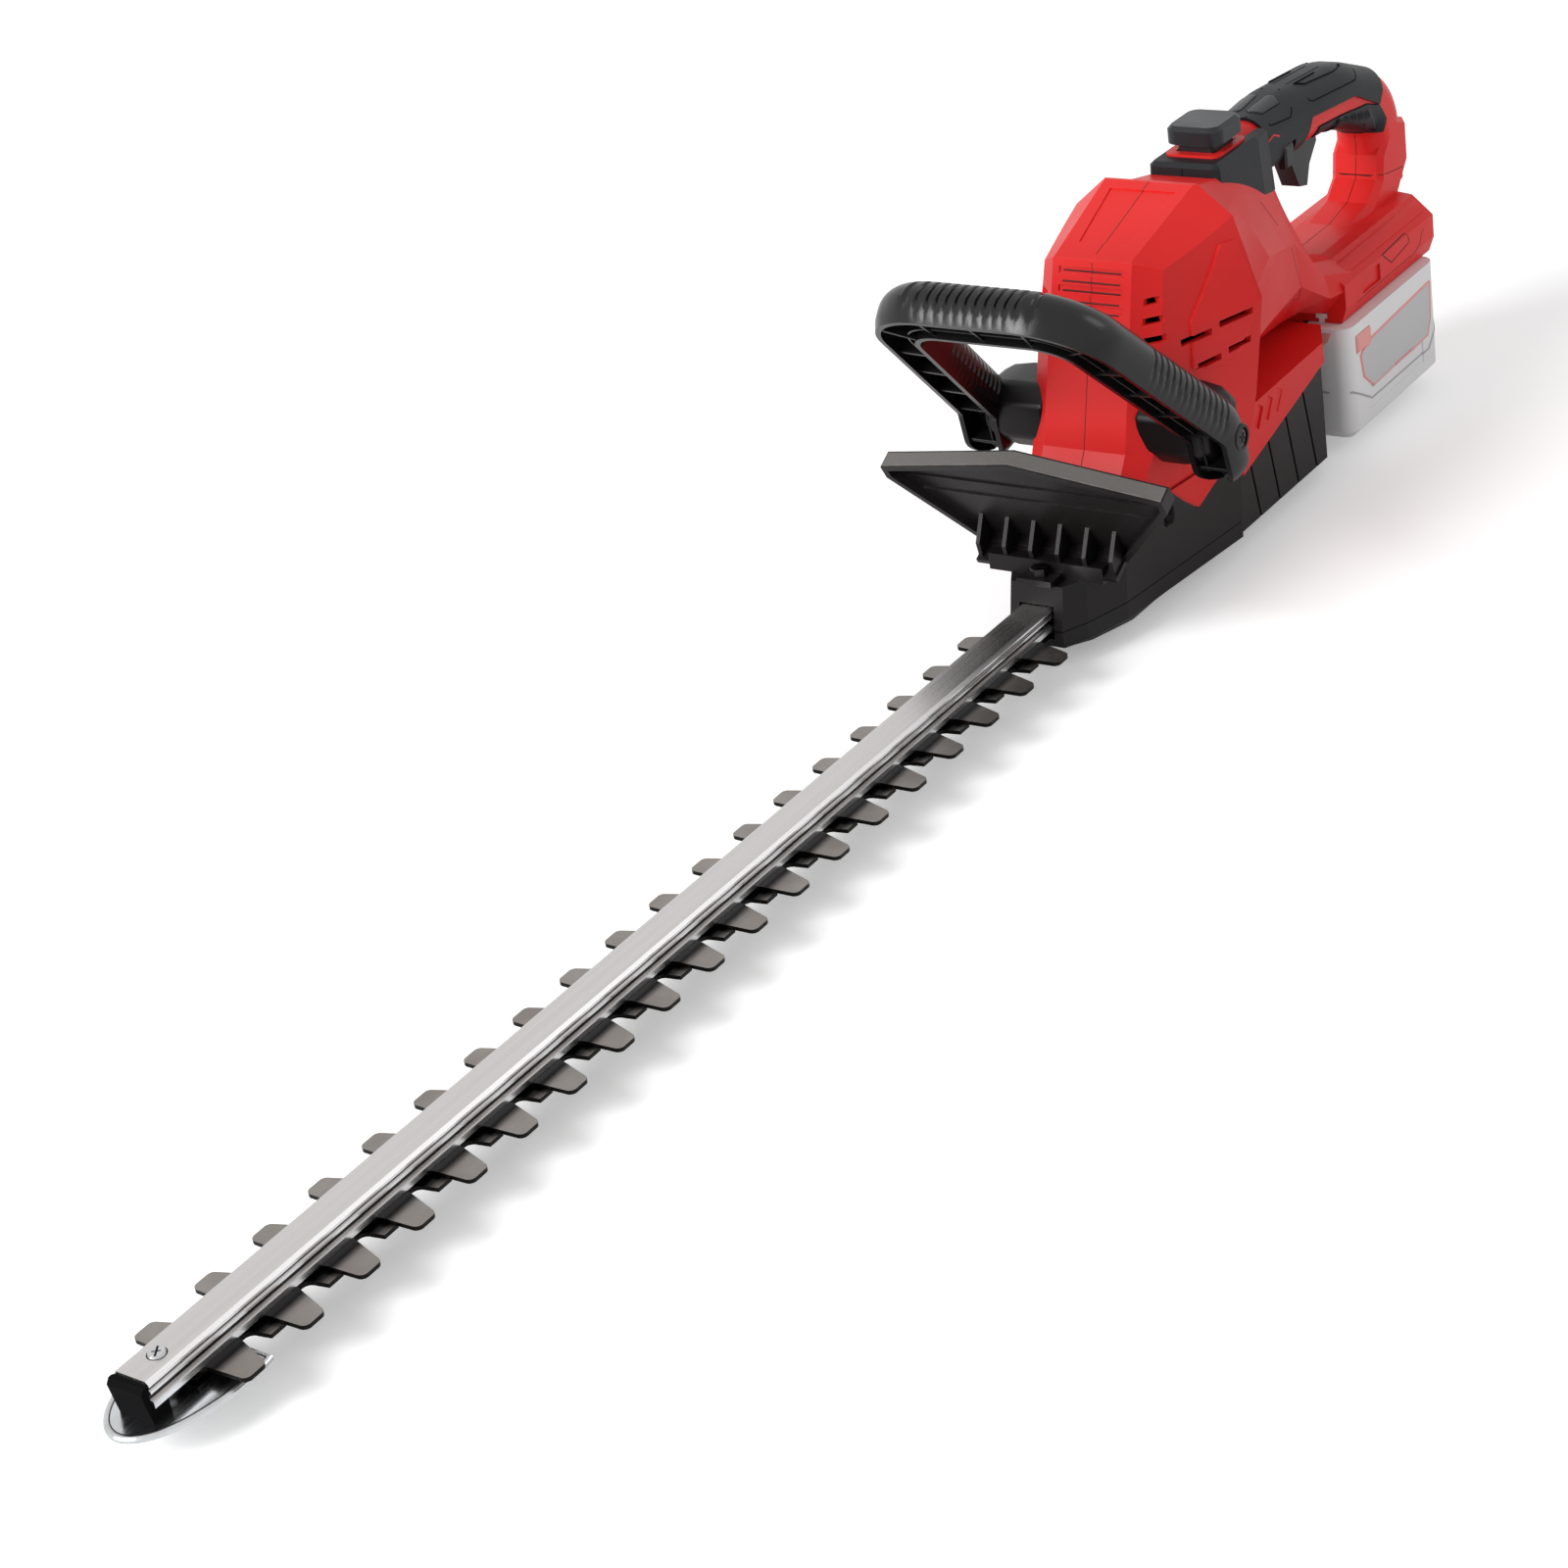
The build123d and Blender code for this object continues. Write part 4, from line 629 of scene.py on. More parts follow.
def isInside(outline, x, y):
    inside = False
    for (x1, y1), (x2, y2) in zip(outline, outline[1:] + outline[:1]):
        if (y1 > y) != (y2 > y) and x < (x2 - x1) * (y - y1) / (y2 - y1) + x1:
            inside = not inside
    return inside


def edgeDistance(outline, x, y):
    best = math.inf
    for (x1, y1), (x2, y2) in zip(outline, outline[1:] + outline[:1]):
        runX, runY = x2 - x1, y2 - y1
        share = ((x - x1) * runX + (y - y1) * runY) / (runX ** 2 + runY ** 2)
        share = min(1.0, max(0.0, share))
        best = min(best, math.hypot(x - x1 - share * runX, y - y1 - share * runY))
    return best


patchSetup = {   # metres
    "castFrom": 0.02, "castReach": 0.05, "root": 0.0006,
    "rimShare": 0.45,   # least distance of inner points from the rim, in cells
    "nearest": 1e-7,
}


def surfacePatch(name, on, outline, skin, thickness, cell, rounded=0.4, setup=patchSetup):
    # a panel that follows the surface, with its root sunk in the solid
    tree = surfaceOf(on)
    corners = [toMetres(p) for p in outline]
    middle = sum(corners, Vector()) / len(corners)
    normal = Vector()
    for near, far in zip(corners, corners[1:] + corners[:1]):
        normal += (near - middle).cross(far - middle)
    normal.normalize()
    if normal.dot(tree.find_nearest(middle)[1]) < 0:
        normal.negate()
    across = normal.orthogonal().normalized()
    upward = normal.cross(across)
    step = cell / 1000
    evenRim = evenPoints(corners, step, closed=True)
    rim = [((p - middle).dot(across), (p - middle).dot(upward)) for p in evenRim]
    lowX, highX = min(x for x, y in rim), max(x for x, y in rim)
    lowY, highY = min(y for x, y in rim), max(y for x, y in rim)
    grid = []
    for i in range(int((highX - lowX) / step) + 1):
        for j in range(int((highY - lowY) / step) + 1):
            x, y = lowX + (i + 0.5) * step, lowY + (j + 0.5) * step
            if isInside(rim, x, y) and edgeDistance(rim, x, y) > setup["rimShare"] * step:
                grid.append((x, y))
    insideOnly = 1
    cut = delaunay_2d_cdt(
        [Vector(p) for p in rim + grid], [], [list(range(len(rim)))], insideOnly, setup["nearest"],
    )
    vertices, roots = [], []
    for x, y in cut[0]:
        start = middle + across * x + upward * y
        hit = tree.ray_cast(start + normal * setup["castFrom"], -normal, setup["castReach"])[0]
        if hit is None:
            hit = tree.find_nearest(start)[0]
        vertices.append(hit + normal * thickness / 1000)
        roots.append(hit - normal * setup["root"])
    faces = [list(t) for t in cut[2]]
    pairs = dict.fromkeys((a, b) for t in faces for a, b in zip(t, t[1:] + t[:1]))
    rootOf = {}
    for a, b in pairs:
        if (b, a) in pairs:
            continue
        for corner in (a, b):
            if corner not in rootOf:
                rootOf[corner] = len(vertices)
                vertices.append(roots[corner])
        faces.append([b, a, rootOf[a], rootOf[b]])
    piece = makePiece(name, vertices, faces, skin)
    roundEdges(piece, rounded / 1000, 50.0, 2)
    return piece


def addBothSides(paths, rows):
    # each row is the maker, piece, solids, path on the left side, skin, and the maker's sizes
    for side, tag in sides:
        for maker, piece, on, path, skin, *sizes in rows:
            maker(piece + tag, on, sided(paths[path], side), skin, *sizes)


def spokesAcross(axis):
    # a function from an angle to the unit spoke square to the axis
    across = axis.orthogonal().normalized()
    upward = axis.cross(across)
    return lambda angle: across * math.cos(angle) + upward * math.sin(angle)


def lathe(name, profile, centre, axis, skin, facets=32):
    # turned piece: profile of (radius, height) along the axis
    axis = Vector(axis).normalized()
    spokeAt = spokesAcross(axis)
    vertices = []
    for radius, height in profile:
        for k in range(facets):
            spoke = spokeAt(2 * math.pi * k / facets)
            vertices.append(toMetres(centre) + axis * height / 1000 + spoke * radius / 1000)
    return makePiece(name, vertices, tubeFaces(len(profile), facets), skin)


recessSetup = {"arms": 4, "waist": 0.72, "dish": 0.0001, "lift": 0.06, "root": 0.0005}


def crossRecess(name, centre, axis, reach, width, turn, skin, setup=recessSetup):
    # recess of a driver point as painted shade: a dark star of arms, a little dished, just above the screw's
    # head
    axis = Vector(axis).normalized()
    spokeAt = spokesAcross(axis)
    vertices = [toMetres(centre) - axis * setup["dish"]]
    rim = []
    for arm in range(setup["arms"]):
        base = math.radians(turn) + 2 * math.pi * arm / setup["arms"]
        spread = math.asin(min(1.0, width / 2 / reach))
        rim += [(reach, base - spread), (reach, base + spread)]
        rim.append((width * setup["waist"], base + math.pi / setup["arms"]))
    for radius, angle in rim:
        vertices.append(toMetres(centre) + (spokeAt(angle) * radius + axis * setup["lift"]) / 1000)
    count = len(rim)
    vertices += [v - axis * setup["root"] for v in vertices[1:]]
    faces = [[0, 1 + i, 1 + (i + 1) % count] for i in range(count)]
    for i in range(count):
        near, far = 1 + i, 1 + (i + 1) % count
        faces.append([near, near + count, far + count, far])
    return makePiece(name, vertices, faces, skin)


# bail handle: round grip with moulded rings, open ribbed inner face and bulbed ends
bailSetup = {
    "corners": [
        (-18.5, -61, 69), (-12.5, -60.5, 97), (75.5, -46, 179),
        (75.5, 46, 179), (-12.5, 60.5, 97), (-18.5, 61, 69),
    ],
    "bends": [14.0, 26.0, 26.0, 14.0], "pathStep": 1.5,
    "back": (-0.6807, 0.0, 0.7325),      # the closed side of the grip
    "radius": 12.0, "wall": 3.6, "lip": -10.6,
    "outer": [(0.86, -10.6), (0.975, -6.0)],   # share of the radius, and height
    "inner": [(0.93, -10.6), (1.0, -2.0), (0.86, 2.0)],
    "waist": -2.0, "waistGroove": 0.4, "arcSteps": 18,
    "stationStep": 2.2,
    "ringDepth": 1.25, "ringHalf": 0.40, "ringFoot": 1.1, "ringClear": 1.6,
    "topRings": 13, "topRingPitch": 4.9,
    "armRings": 13, "armRingPitch": 5.2, "armRingFrom": 37.0,   # first ring from the end of the arm
    "bulb": 11.0, "bulbSteps": 8, "bulbPower": 2.4, "bulbLeast": 0.12,
    "ribPitch": 24.0, "ribHalf": 0.8, "ribEnd": 10.0, "ribBack": 2.6, "ribLip": 1.6,
    "ribSink": 0.3, "ribTaper": 0.95,
    "web": [(-4.6, 2.6), (-3.3, 2.6), (-3.4, -8.2), (-4.5, -8.2)], "webEnd": 8.0, "webSteps": 180,
    "smooth": 44.0,
}


def filletPath(corners, bends, step):
    # polyline with round bends, as even points
    path = [corners[0]]
    for before, corner, after, bend in zip(corners, corners[1:], corners[2:], bends):
        inward, outward = (before - corner).normalized(), (after - corner).normalized()
        half = inward.angle(outward) / 2
        reach = bend / math.tan(half)
        centre = corner + (inward + outward).normalized() * bend / math.sin(half)
        first, last = corner + inward * reach - centre, corner + outward * reach - centre
        turn = first.angle(last)
        count = max(4, int(turn * bend / step))
        for i in range(count + 1):
            share = i / count
            spoke = first * math.sin((1 - share) * turn) + last * math.sin(share * turn)
            path.append(centre + spoke / math.sin(turn))
    path.append(corners[-1])
    return path


def pathReader(path):
    # a function from length along the path to (point, direction), and the whole length
    lengths = [0.0]
    for near, far in zip(path, path[1:]):
        lengths.append(lengths[-1] + (far - near).length)

    def readAt(length):
        length = min(max(length, 0.0), lengths[-1])
        index = next(i for i in range(1, len(lengths)) if lengths[i] >= length - 1e-9)
        share = (length - lengths[index - 1]) / max(1e-9, lengths[index] - lengths[index - 1])
        point = path[index - 1].lerp(path[index], share)
        low, high = max(0, index - 2), min(len(path) - 1, index + 1)
        return point, (path[high] - path[low]).normalized()

    return readAt, lengths[-1]


def bailSection(setup, groove):
    # (out, back) points of the section; a groove pulls in the round side only
    radius = setup["radius"]
    hollow = radius - setup["wall"]
    skirt = [(radius * share, height) for share, height in setup["outer"]]
    skirt.append((radius - groove * setup["waistGroove"], setup["waist"]))
    shape = [(-out, height) for out, height in skirt]
    for i in range(setup["arcSteps"] + 1):
        angle = math.pi * (1 - i / setup["arcSteps"])
        shape.append(((radius - groove) * math.cos(angle), (radius - groove) * math.sin(angle)))
    channel = [(hollow * share, height) for share, height in setup["inner"]]
    return shape + skirt[::-1] + channel + [(-out, height) for out, height in channel[::-1]]


def bailStations(setup, total):
    # lengths along the grip where it has a section, with the depth of groove there
    middle = total / 2
    rings = [
        middle + (i - (setup["topRings"] - 1) / 2) * setup["topRingPitch"]
        for i in range(setup["topRings"])
    ]
    for i in range(setup["armRings"]):
        spot = setup["armRingFrom"] + i * setup["armRingPitch"]
        rings += [spot, total - spot]
    stations = {0.0: 0.0, total: 0.0}
    for i in range(int(total / setup["stationStep"])):
        spot = i * setup["stationStep"]
        if all(abs(spot - ring) > setup["ringClear"] for ring in rings):
            stations[spot] = 0.0
    half, foot, depth = setup["ringHalf"], setup["ringFoot"], setup["ringDepth"]
    for ring in rings:
        for offset, groove in ((-foot, 0.0), (-half, depth), (half, depth), (foot, 0.0)):
            stations[ring + offset] = groove
    for i in range(setup["bulbSteps"]):
        fromEnd = setup["bulb"] * (1 - math.cos(math.pi * i / (2 * setup["bulbSteps"])))
        stations[fromEnd] = 0.0
        stations[total - fromEnd] = 0.0
    return stations


def makeBail(setup):
    corners = [Vector(c) for c in setup["corners"]]
    readAt, total = pathReader(filletPath(corners, setup["bends"], setup["pathStep"]))
    back = Vector(setup["back"])

    def axesAt(spot):
        point, along = readAt(spot)
        deep = (back - along * back.dot(along)).normalized()
        return point, along.cross(deep).normalized(), deep

    skin = skinOn("body", "black_shell", trim["gripPlastic"])
    stations = bailStations(setup, total)
    vertices = []
    for spot in sorted(stations):
        share = max(0.0, 1 - min(spot, total - spot) / setup["bulb"])
        scale = max(setup["bulbLeast"], math.sqrt(1 - share ** setup["bulbPower"]))
        point, out, deep = axesAt(spot)
        for s, c in bailSection(setup, stations[spot]):
            vertices.append((point + out * s * scale + deep * c * scale) / 1000)
    faces = tubeFaces(len(stations), len(bailSection(setup, 0.0)))
    grip = makePiece("bailGrip", vertices, faces, skin, setup["smooth"])
    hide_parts("bail_handle", "bail_screws")

    # cross ribs in the open face, and one long web that runs through them
    vertices, faces = [], []
    half, low = setup["radius"] - setup["wall"] + setup["ribSink"], setup["lip"] + setup["ribLip"]
    taper = half * setup["ribTaper"]
    rib = [(-half, setup["ribBack"]), (half, setup["ribBack"]), (taper, low), (-taper, low)]
    span = total - 2 * setup["ribEnd"]
    count = int(span / setup["ribPitch"])
    for i in range(count + 1):
        spot = setup["ribEnd"] + span * i / count
        start = len(vertices)
        for offset in (-setup["ribHalf"], setup["ribHalf"]):
            point, out, deep = axesAt(spot + offset)
            vertices += [(point + out * s + deep * c) / 1000 for s, c in rib]
        faces += [[start + k for k in face] for face in ((0, 1, 2, 3), (7, 6, 5, 4))]
        faces += [[start + k, start + 4 + k, start + 4 + (k + 1) % 4, start + (k + 1) % 4] for k in range(4)]
    start = len(vertices)
    steps = setup["webSteps"]
    for i in range(steps + 1):
        point, out, deep = axesAt(setup["webEnd"] + (total - 2 * setup["webEnd"]) * i / steps)
        vertices += [(point + out * s + deep * c) / 1000 for s, c in setup["web"]]
    faces += tubeFaces(steps + 1, len(setup["web"]), start=start)
    ribs = makePiece("bailRibs", vertices, faces, skin)
    roundEdges(ribs, 0.0003, 50.0, 2)


makeBail(bailSetup)

bailMount = {
    "sections": [(24.0, 1.00), (44.0, 1.00), (54.0, 0.92), (60.0, 0.74)],   # y, and the block's scale there
    "middle": (-21.0, 92.0),
    "outline": [(-20, -10), (-14, -17), (9, -17), (17, -9), (18, 8), (10, 16), (-12, 17), (-20, 9)],
    "pivot": (-14.8, 91.0),
    "bossFrom": 70.2, "boss": [(6.4, 0.0), (6.4, 2.3), (5.9, 2.8), (4.7, 2.8), (4.7, 1.6)],
    "screwFrom": 71.7, "screw": [(4.3, 0.0), (4.3, 0.5), (3.4, 0.9), (1.8, 1.0)],
    "crossFrom": 72.75, "crossReach": 2.4, "crossWidth": 0.9, "crossTurn": 20,
}


def makeMounts(setup):
    # block between body and handle, and the boss and screw at the handle's end
    midX, midZ = setup["middle"]
    pivotX, pivotZ = setup["pivot"]
    for side, tag in sides:
        vertices = []
        for y, scale in setup["sections"]:
            for x, z in setup["outline"]:
                vertices.append(toMetres((midX + x * scale, side * y, midZ + z * scale)))
        faces = [face[::side] for face in tubeFaces(len(setup["sections"]), len(setup["outline"]))]
        black, steel = skinOn("body", "black_shell"), skinOn("body", "dark_screw")
        block = makePiece("bailMount" + tag, vertices, faces, black, 30.0)
        roundEdges(block, 0.0022, 25.0, 3)
        bossAt, screwAt, crossAt = (
            (pivotX, side * setup[key], pivotZ) for key in ("bossFrom", "screwFrom", "crossFrom")
        )
        outward = (0, side, 0)
        lathe("bailBoss" + tag, setup["boss"], bossAt, outward, black)
        lathe("bailScrew" + tag, setup["screw"], screwAt, outward, steel)
        crossRecess(
            "bailScrewCross" + tag, crossAt, outward, setup["crossReach"], setup["crossWidth"],
            setup["crossTurn"], skinOn("body", "dark_screw", trim["blackSeam"]),
        )


makeMounts(bailMount)
print("hedge trimmer: bail handle ready")


# red body: middle seam, dark strips of painted shade in the louvres, flange over the gear case and the case's
# hump in it
bodyNodes = ["body_left", "body_right"]
caseNodes = ["gear_case_lower", "gear_case_upper"]
aside = 0.05   # seams lie this far beside the plane where two halves meet
seamWidth, seamLift = 0.40, 0.07
bodyTrim = {
    "roofSeam": [(-78, aside, 184), (-25, aside, 168.6)], "roofFacing": (0.29, 0, 0.957),
    "frontFrom": 166.0, "frontTo": 62.0, "frontStep": 1.0, "frontFacing": (0.97, 0, 0.24),
    "castX": 60.0,
    "louvreTop": 161.6, "louvrePitch": 4.4, "louvres": 5, "louvreHalf": 15.0, "louvreWidth": 0.9,
    "flange": [
        (12, 26, 59.5), (12.5, 26, 52), (3, 30, 46.5), (-5, 32, 50.5), (-12, 33, 55),
        (-23, 34.5, 50), (-35, 35.6, 43), (-52, 37, 51), (-64, 38, 59.5),
    ],
    "hump": [
        (3, 30, 47), (-5, 31.5, 52), (-12, 32.5, 58.4), (-15, 32.8, 58.4),
        (-22, 34, 52), (-31, 35, 45), (-22, 34, 44), (-6, 32, 44),
    ],
    "parting": [(60.5, 0, 20.1), (60.5, 14, 20.1), (48.5, 20, 20.1), (24.5, 27.5, 20.1), (-69, 38, 20.1)],
}


def frontProfile(tree, high, low, step, fromX):
    # where a ray along -X meets the front, from high to low
    spots = []
    height = high
    while height > low:
        hit = tree.ray_cast(toMetres((fromX, aside, height)), Vector((-1, 0, 0)))[0]
        if hit is not None:
            spots.append(tuple(hit * 1000))
        height -= step
    return spots


def makeBodyTrim(setup):
    surface = surfaceOf(bodyNodes)
    seam = skinOn("body", "red_shell", trim["redSeam"])
    front, step, castX = setup["frontFacing"], setup["frontStep"], setup["castX"]
    surfaceStrip(
        "roofSeam", bodyNodes, setup["roofSeam"], seam, seamWidth, seamLift,
        step=step, facing=setup["roofFacing"],
    )
    line = frontProfile(surface, setup["frontFrom"], setup["frontTo"], step, castX)
    surfaceStrip("frontSeam", bodyNodes, line, seam, seamWidth, seamLift, step=step, facing=front)
    half = setup["louvreHalf"]
    # painted shade: dark red strips laid along the louvre grooves
    for row in range(setup["louvres"]):
        height = setup["louvreTop"] - row * setup["louvrePitch"]
        x = frontProfile(surface, height, height - step / 2, step, castX)[0][0]
        line = [(x, -half, height), (x, half, height)]
        surfaceStrip(
            "louvreShade%d" % row, bodyNodes, line, seam, setup["louvreWidth"], seamLift,
            step=3.0, facing=front,
        )
    red, black = skinOn("body", "red_shell"), skinOn("body", "black_shell")
    upperCase, dark = ["gear_case_upper"], skinOn("body", "black_shell", trim["blackSeam"])
    addBothSides(setup, [
        (surfacePatch, "flangeEdge", upperCase, "flange", red, 0.9, 1.5),
        (surfacePatch, "caseHump", upperCase, "hump", black, 1.8, 1.5),
    ])
    addBothSides(setup, [(surfaceStrip, "caseParting", caseNodes, "parting", dark, 0.6, 0.07)])


makeBodyTrim(bodyTrim)
print("hedge trimmer: body and case trim ready")


# rear handle: collar seam, grip panels, finger pad, seams and foot trim
handleNodes = ["handle_left", "handle_right"]
handleTrim = {
    "reliefFront": [
        (-174.4, 1.5, 185.9), (-192.6, 2.5, 187.1), (-193.8, 6.0, 186.9),
        (-190.1, 10.6, 184.6), (-174.4, 9.3, 184.4), (-171.8, 3.1, 185.7),
    ],
    "reliefFrontLine": [
        (-202.7, 4.1, 187.2), (-194.7, 14.8, 180.1), (-191.5, 15.6, 177.5),
        (-173.4, 14.4, 179.4), (-166.0, 4.2, 185.1),
    ],
    "reliefRear": [
        (-212.1, 3.6, 186.3), (-239.5, 3.6, 184.7), (-262.0, 3.6, 180.9), (-268.6, 12.5, 175.6),
        (-263.4, 15.2, 172.7), (-216.3, 15.5, 177.4), (-212.7, 15.0, 179.0),
    ],
    "reliefRearInset": [
        (-214.3, 6.5, 186.0), (-219.5, 9.6, 184.4), (-248.3, 10.6, 181.2),
        (-259.1, 8.8, 180.5), (-257.0, 5.8, 181.8),
    ],
    "padLow": [
        (-223.8, 14.2, 161.6), (-275.0, 14.4, 156.2), (-289.6, 14.4, 151.0),
        (-296.5, 14.4, 142.0), (-294.3, 14.1, 135.1), (-284.1, 13.0, 135.5),
        (-275.0, 13.0, 146.0), (-240, 13.0, 153.0), (-221.0, 13.0, 156.4),
    ],
    "legSplit": [
        (-287.2, -8.7, 113.4), (-287.3, 2.3, 113.9), (-290.0, 14.1, 113.7),
        (-304.4, 14.4, 111.4), (-316.0, 13.0, 110.0),
    ],
    "footLine": [
        (-303.5, 24.4, 91.4), (-290.9, 33.0, 82.0), (-289.8, 33.0, 78.4),
        (-282.2, 32.8, 75.5), (-228.7, 32.8, 75.0), (-210.6, 28.8, 74.7),
    ],
    "badge": [(-245.0, 33.0, 88.4), (-274.0, 33.0, 90.4), (-277.0, 33.0, 83.6), (-255.2, 33.0, 80.6)],
    "neckSeam": [
        (-142.0, 22.4, 152.7), (-159.5, 28.6, 120.1), (-163.0, 28.9, 105.0),
        (-167.8, 25.0, 94.0), (-156.6, 24.0, 93.1),
    ],
    "footSeam": [(-213, aside, 99.5), (-284, aside, 99.5)],
    "footShoulder": [(-210.5, 27.2, 93.75), (-303.0, 27.2, 93.75)],
    "collarX": -60.0, "collarBelowTop": 2.5, "collarAboveFoot": 1.0,
    "legFrontX": -266.0, "legHigh": 136.0, "legLow": 103.0,
    "sliderRim": [
        (-161.5, 15.5, 161.0), (-161.3, 15.0, 166.5), (-164.5, 15.0, 173.2),
        (-172.5, 15.8, 175.0), (-178.0, 16.0, 172.6),
    ],
}


def shoulderStrip(name, on, points, skin, width, lift):
    # covers the slit in the solids on one shoulder of the foot
    lean = math.copysign(0.60, points[0][1])
    surfaceStrip(name, on, points, skin, width, lift, step=8.0, facing=(0, lean, 0.80))


def makeHandleTrim(setup):
    collar, grip, padNodes = ["handle_collar"], ["grip_cover"], handleNodes + ["finger_pad"]
    collarLow, collarHigh = (corner.z * 1000 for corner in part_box("handle_collar"))
    line = frontProfile(
        surfaceOf(collar), collarHigh - setup["collarBelowTop"],
        collarLow + setup["collarAboveFoot"], 1.5, setup["collarX"],
    )
    collarSkin = skinOn("rear_handle", "black_shell", trim["blackSeam"])
    surfaceStrip("collarSeam", collar, line, collarSkin, 0.5, seamLift, facing=(1, 0, 0.2))
    gripSeam = skinOn("rear_handle", "soft_grip", trim["blackSeam"])
    panel = skinOn("rear_handle", "soft_grip", finishes["black_button"])
    soft = skinOn("rear_handle", "soft_grip")
    red = skinOn("rear_handle", "red_shell")
    seam = skinOn("rear_handle", "red_shell", trim["redSeam"])
    closed = True
    addBothSides(setup, [
        (surfacePatch, "gripReliefRear", grip, "reliefRear", panel, 0.45, 1.4),
        (surfaceStrip, "gripRearLine", grip, "reliefRear", gripSeam, 0.9, 0.10, closed),
        (surfaceStrip, "gripInset", grip, "reliefRearInset", gripSeam, 0.7, 0.62, closed),
        (surfacePatch, "gripReliefFront", grip, "reliefFront", panel, 0.45, 1.2),
        (surfaceStrip, "gripFrontLine", grip, "reliefFront", gripSeam, 0.9, 0.10, closed),
        (surfaceStrip, "gripLine", grip, "reliefFrontLine", gripSeam, 0.8, 0.20),
        (surfacePatch, "fingerPadSide", padNodes, "padLow", soft, 0.8, 1.8),
        (surfaceStrip, "fingerPadLine", padNodes, "padLow", gripSeam, 0.9, 0.12, closed),
        (shoulderStrip, "footShoulder", None, "footShoulder", red, 7.4, 0.55),
        (surfaceStrip, "footLine", handleNodes, "footLine", seam, 0.55, 0.06),
        (surfaceStrip, "footBadge", handleNodes, "badge", seam, 0.7, 0.07, closed),
        (surfaceStrip, "neckSeam", handleNodes, "neckSeam", seam, 0.5, 0.06),
        (surfaceStrip, "legSplit", handleNodes, "legSplit", seam, 0.5, 0.06),
    ])
    surfaceStrip("sliderRim", grip, setup["sliderRim"], red, 0.9, 0.25)
    line = frontProfile(
        surfaceOf(handleNodes), setup["legHigh"], setup["legLow"], 2.0, setup["legFrontX"],
    )
    surfaceStrip("legSeam", handleNodes, line, seam, seamWidth, seamLift, facing=(1, 0, 0.25))
    surfaceStrip("footSeam", handleNodes, setup["footSeam"], seam, seamWidth, seamLift, facing=(0, 0, 1))


makeHandleTrim(handleTrim)
print("hedge trimmer: handle trim ready")


# battery pack: framed side panel, coloured line and moulded edges
packNodes = ["pack_lower", "pack_upper"]
packTrim = {
    "panel": [
        (-206.0, 37, 50.0), (-208.5, 37, 38.0), (-219.3, 37, 28.7), (-283.0, 37, 30.5),
        (-287.0, 37, 38.6), (-288.3, 37, 58.0), (-214.2, 37, 54.3),
    ],
    "ridge": [
        (-194.0, 20.0, 33.5), (-197.7, 35.7, 33.5), (-217.4, 37, 22.5),
        (-284.0, 37, 22.5), (-296.5, 36.0, 34.0),
    ],
    "latchPatch": [(-194.0, 13.4, 65.2), (-194.0, 28.0, 65.7), (-194.0, 25.8, 60.8), (-194.0, 17.9, 55.6)],
}
pink = skinOn("battery_pack", "latch_plastic")
palePanel = skinOn("battery_pack", "pack_shell", trim["packPanel"])
paleLine = skinOn("battery_pack", "pack_shell", trim["packLine"])
addBothSides(packTrim, [
    (surfacePatch, "packPanel", packNodes, "panel", palePanel, 0.5, 3.0, 0.2),
    (surfaceStrip, "packFrame", packNodes, "panel", pink, 1.3, 0.75, True),
    (surfaceStrip, "packRidge", packNodes, "ridge", paleLine, 1.0, 0.4),
    (surfacePatch, "packCorner", packNodes, "latchPatch", pink, 0.4, 2.0, 0.15),
])
print("hedge trimmer: battery trim ready")


# hand guard: textured band on the top edge of the shield
guardTrim = {
    "origin": (31, 0, 50), "rise": (0.4907, 0, 0.8713), "out": (0.8713, 0, -0.4907),
    "top": [(-72.2, 52.3), (0, 66.1), (72.2, 52.3)],    # across and up the shield
    "from": -2.3, "to": 5.4, "lift": 0.28, "root": -0.3, "slope": 0.3, "step": 3.0,
}


def makeGuardBand(setup):
    origin, rise, out = Vector(setup["origin"]), Vector(setup["rise"]), Vector(setup["out"])
    low, high, root, slope = setup["from"], setup["to"], setup["root"], setup["slope"]
    section = [(low, root), (low + slope, setup["lift"]), (high - slope, setup["lift"]), (high, root)]
    stations = evenPoints([Vector((u, v, 0)) for u, v in setup["top"]], setup["step"])
    vertices = []
    for spot in stations:
        for w, lift in section:
            vertices.append((origin + Vector((0, spot.x, 0)) + rise * (spot.y + lift) + out * w) / 1000)
    skin = skinOn("body", "black_shell", trim["rimTexture"])
    makePiece("guardBand", vertices, tubeFaces(len(stations), len(section)), skin)


makeGuardBand(guardTrim)

# driver recesses of the screws as painted shade, and a ring of painted shade where the tip screw meets the bar
screwTrim = {
    "guard": (2.6, 1.0, 30), "case": (2.4, 0.9, 10),   # reach, width and turn of the cross
    "slotReach": 2.3, "slotAside": 1.5, "slotWidth": 0.8, "slotLift": 0.08,
    "ringRadius": 3.55, "ringPoints": 32, "ringWidth": 0.4, "lineLift": 0.06,
}


def boxInMillimetres(node):
    low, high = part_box(node)
    return (low + high) * 500, low * 1000, high * 1000


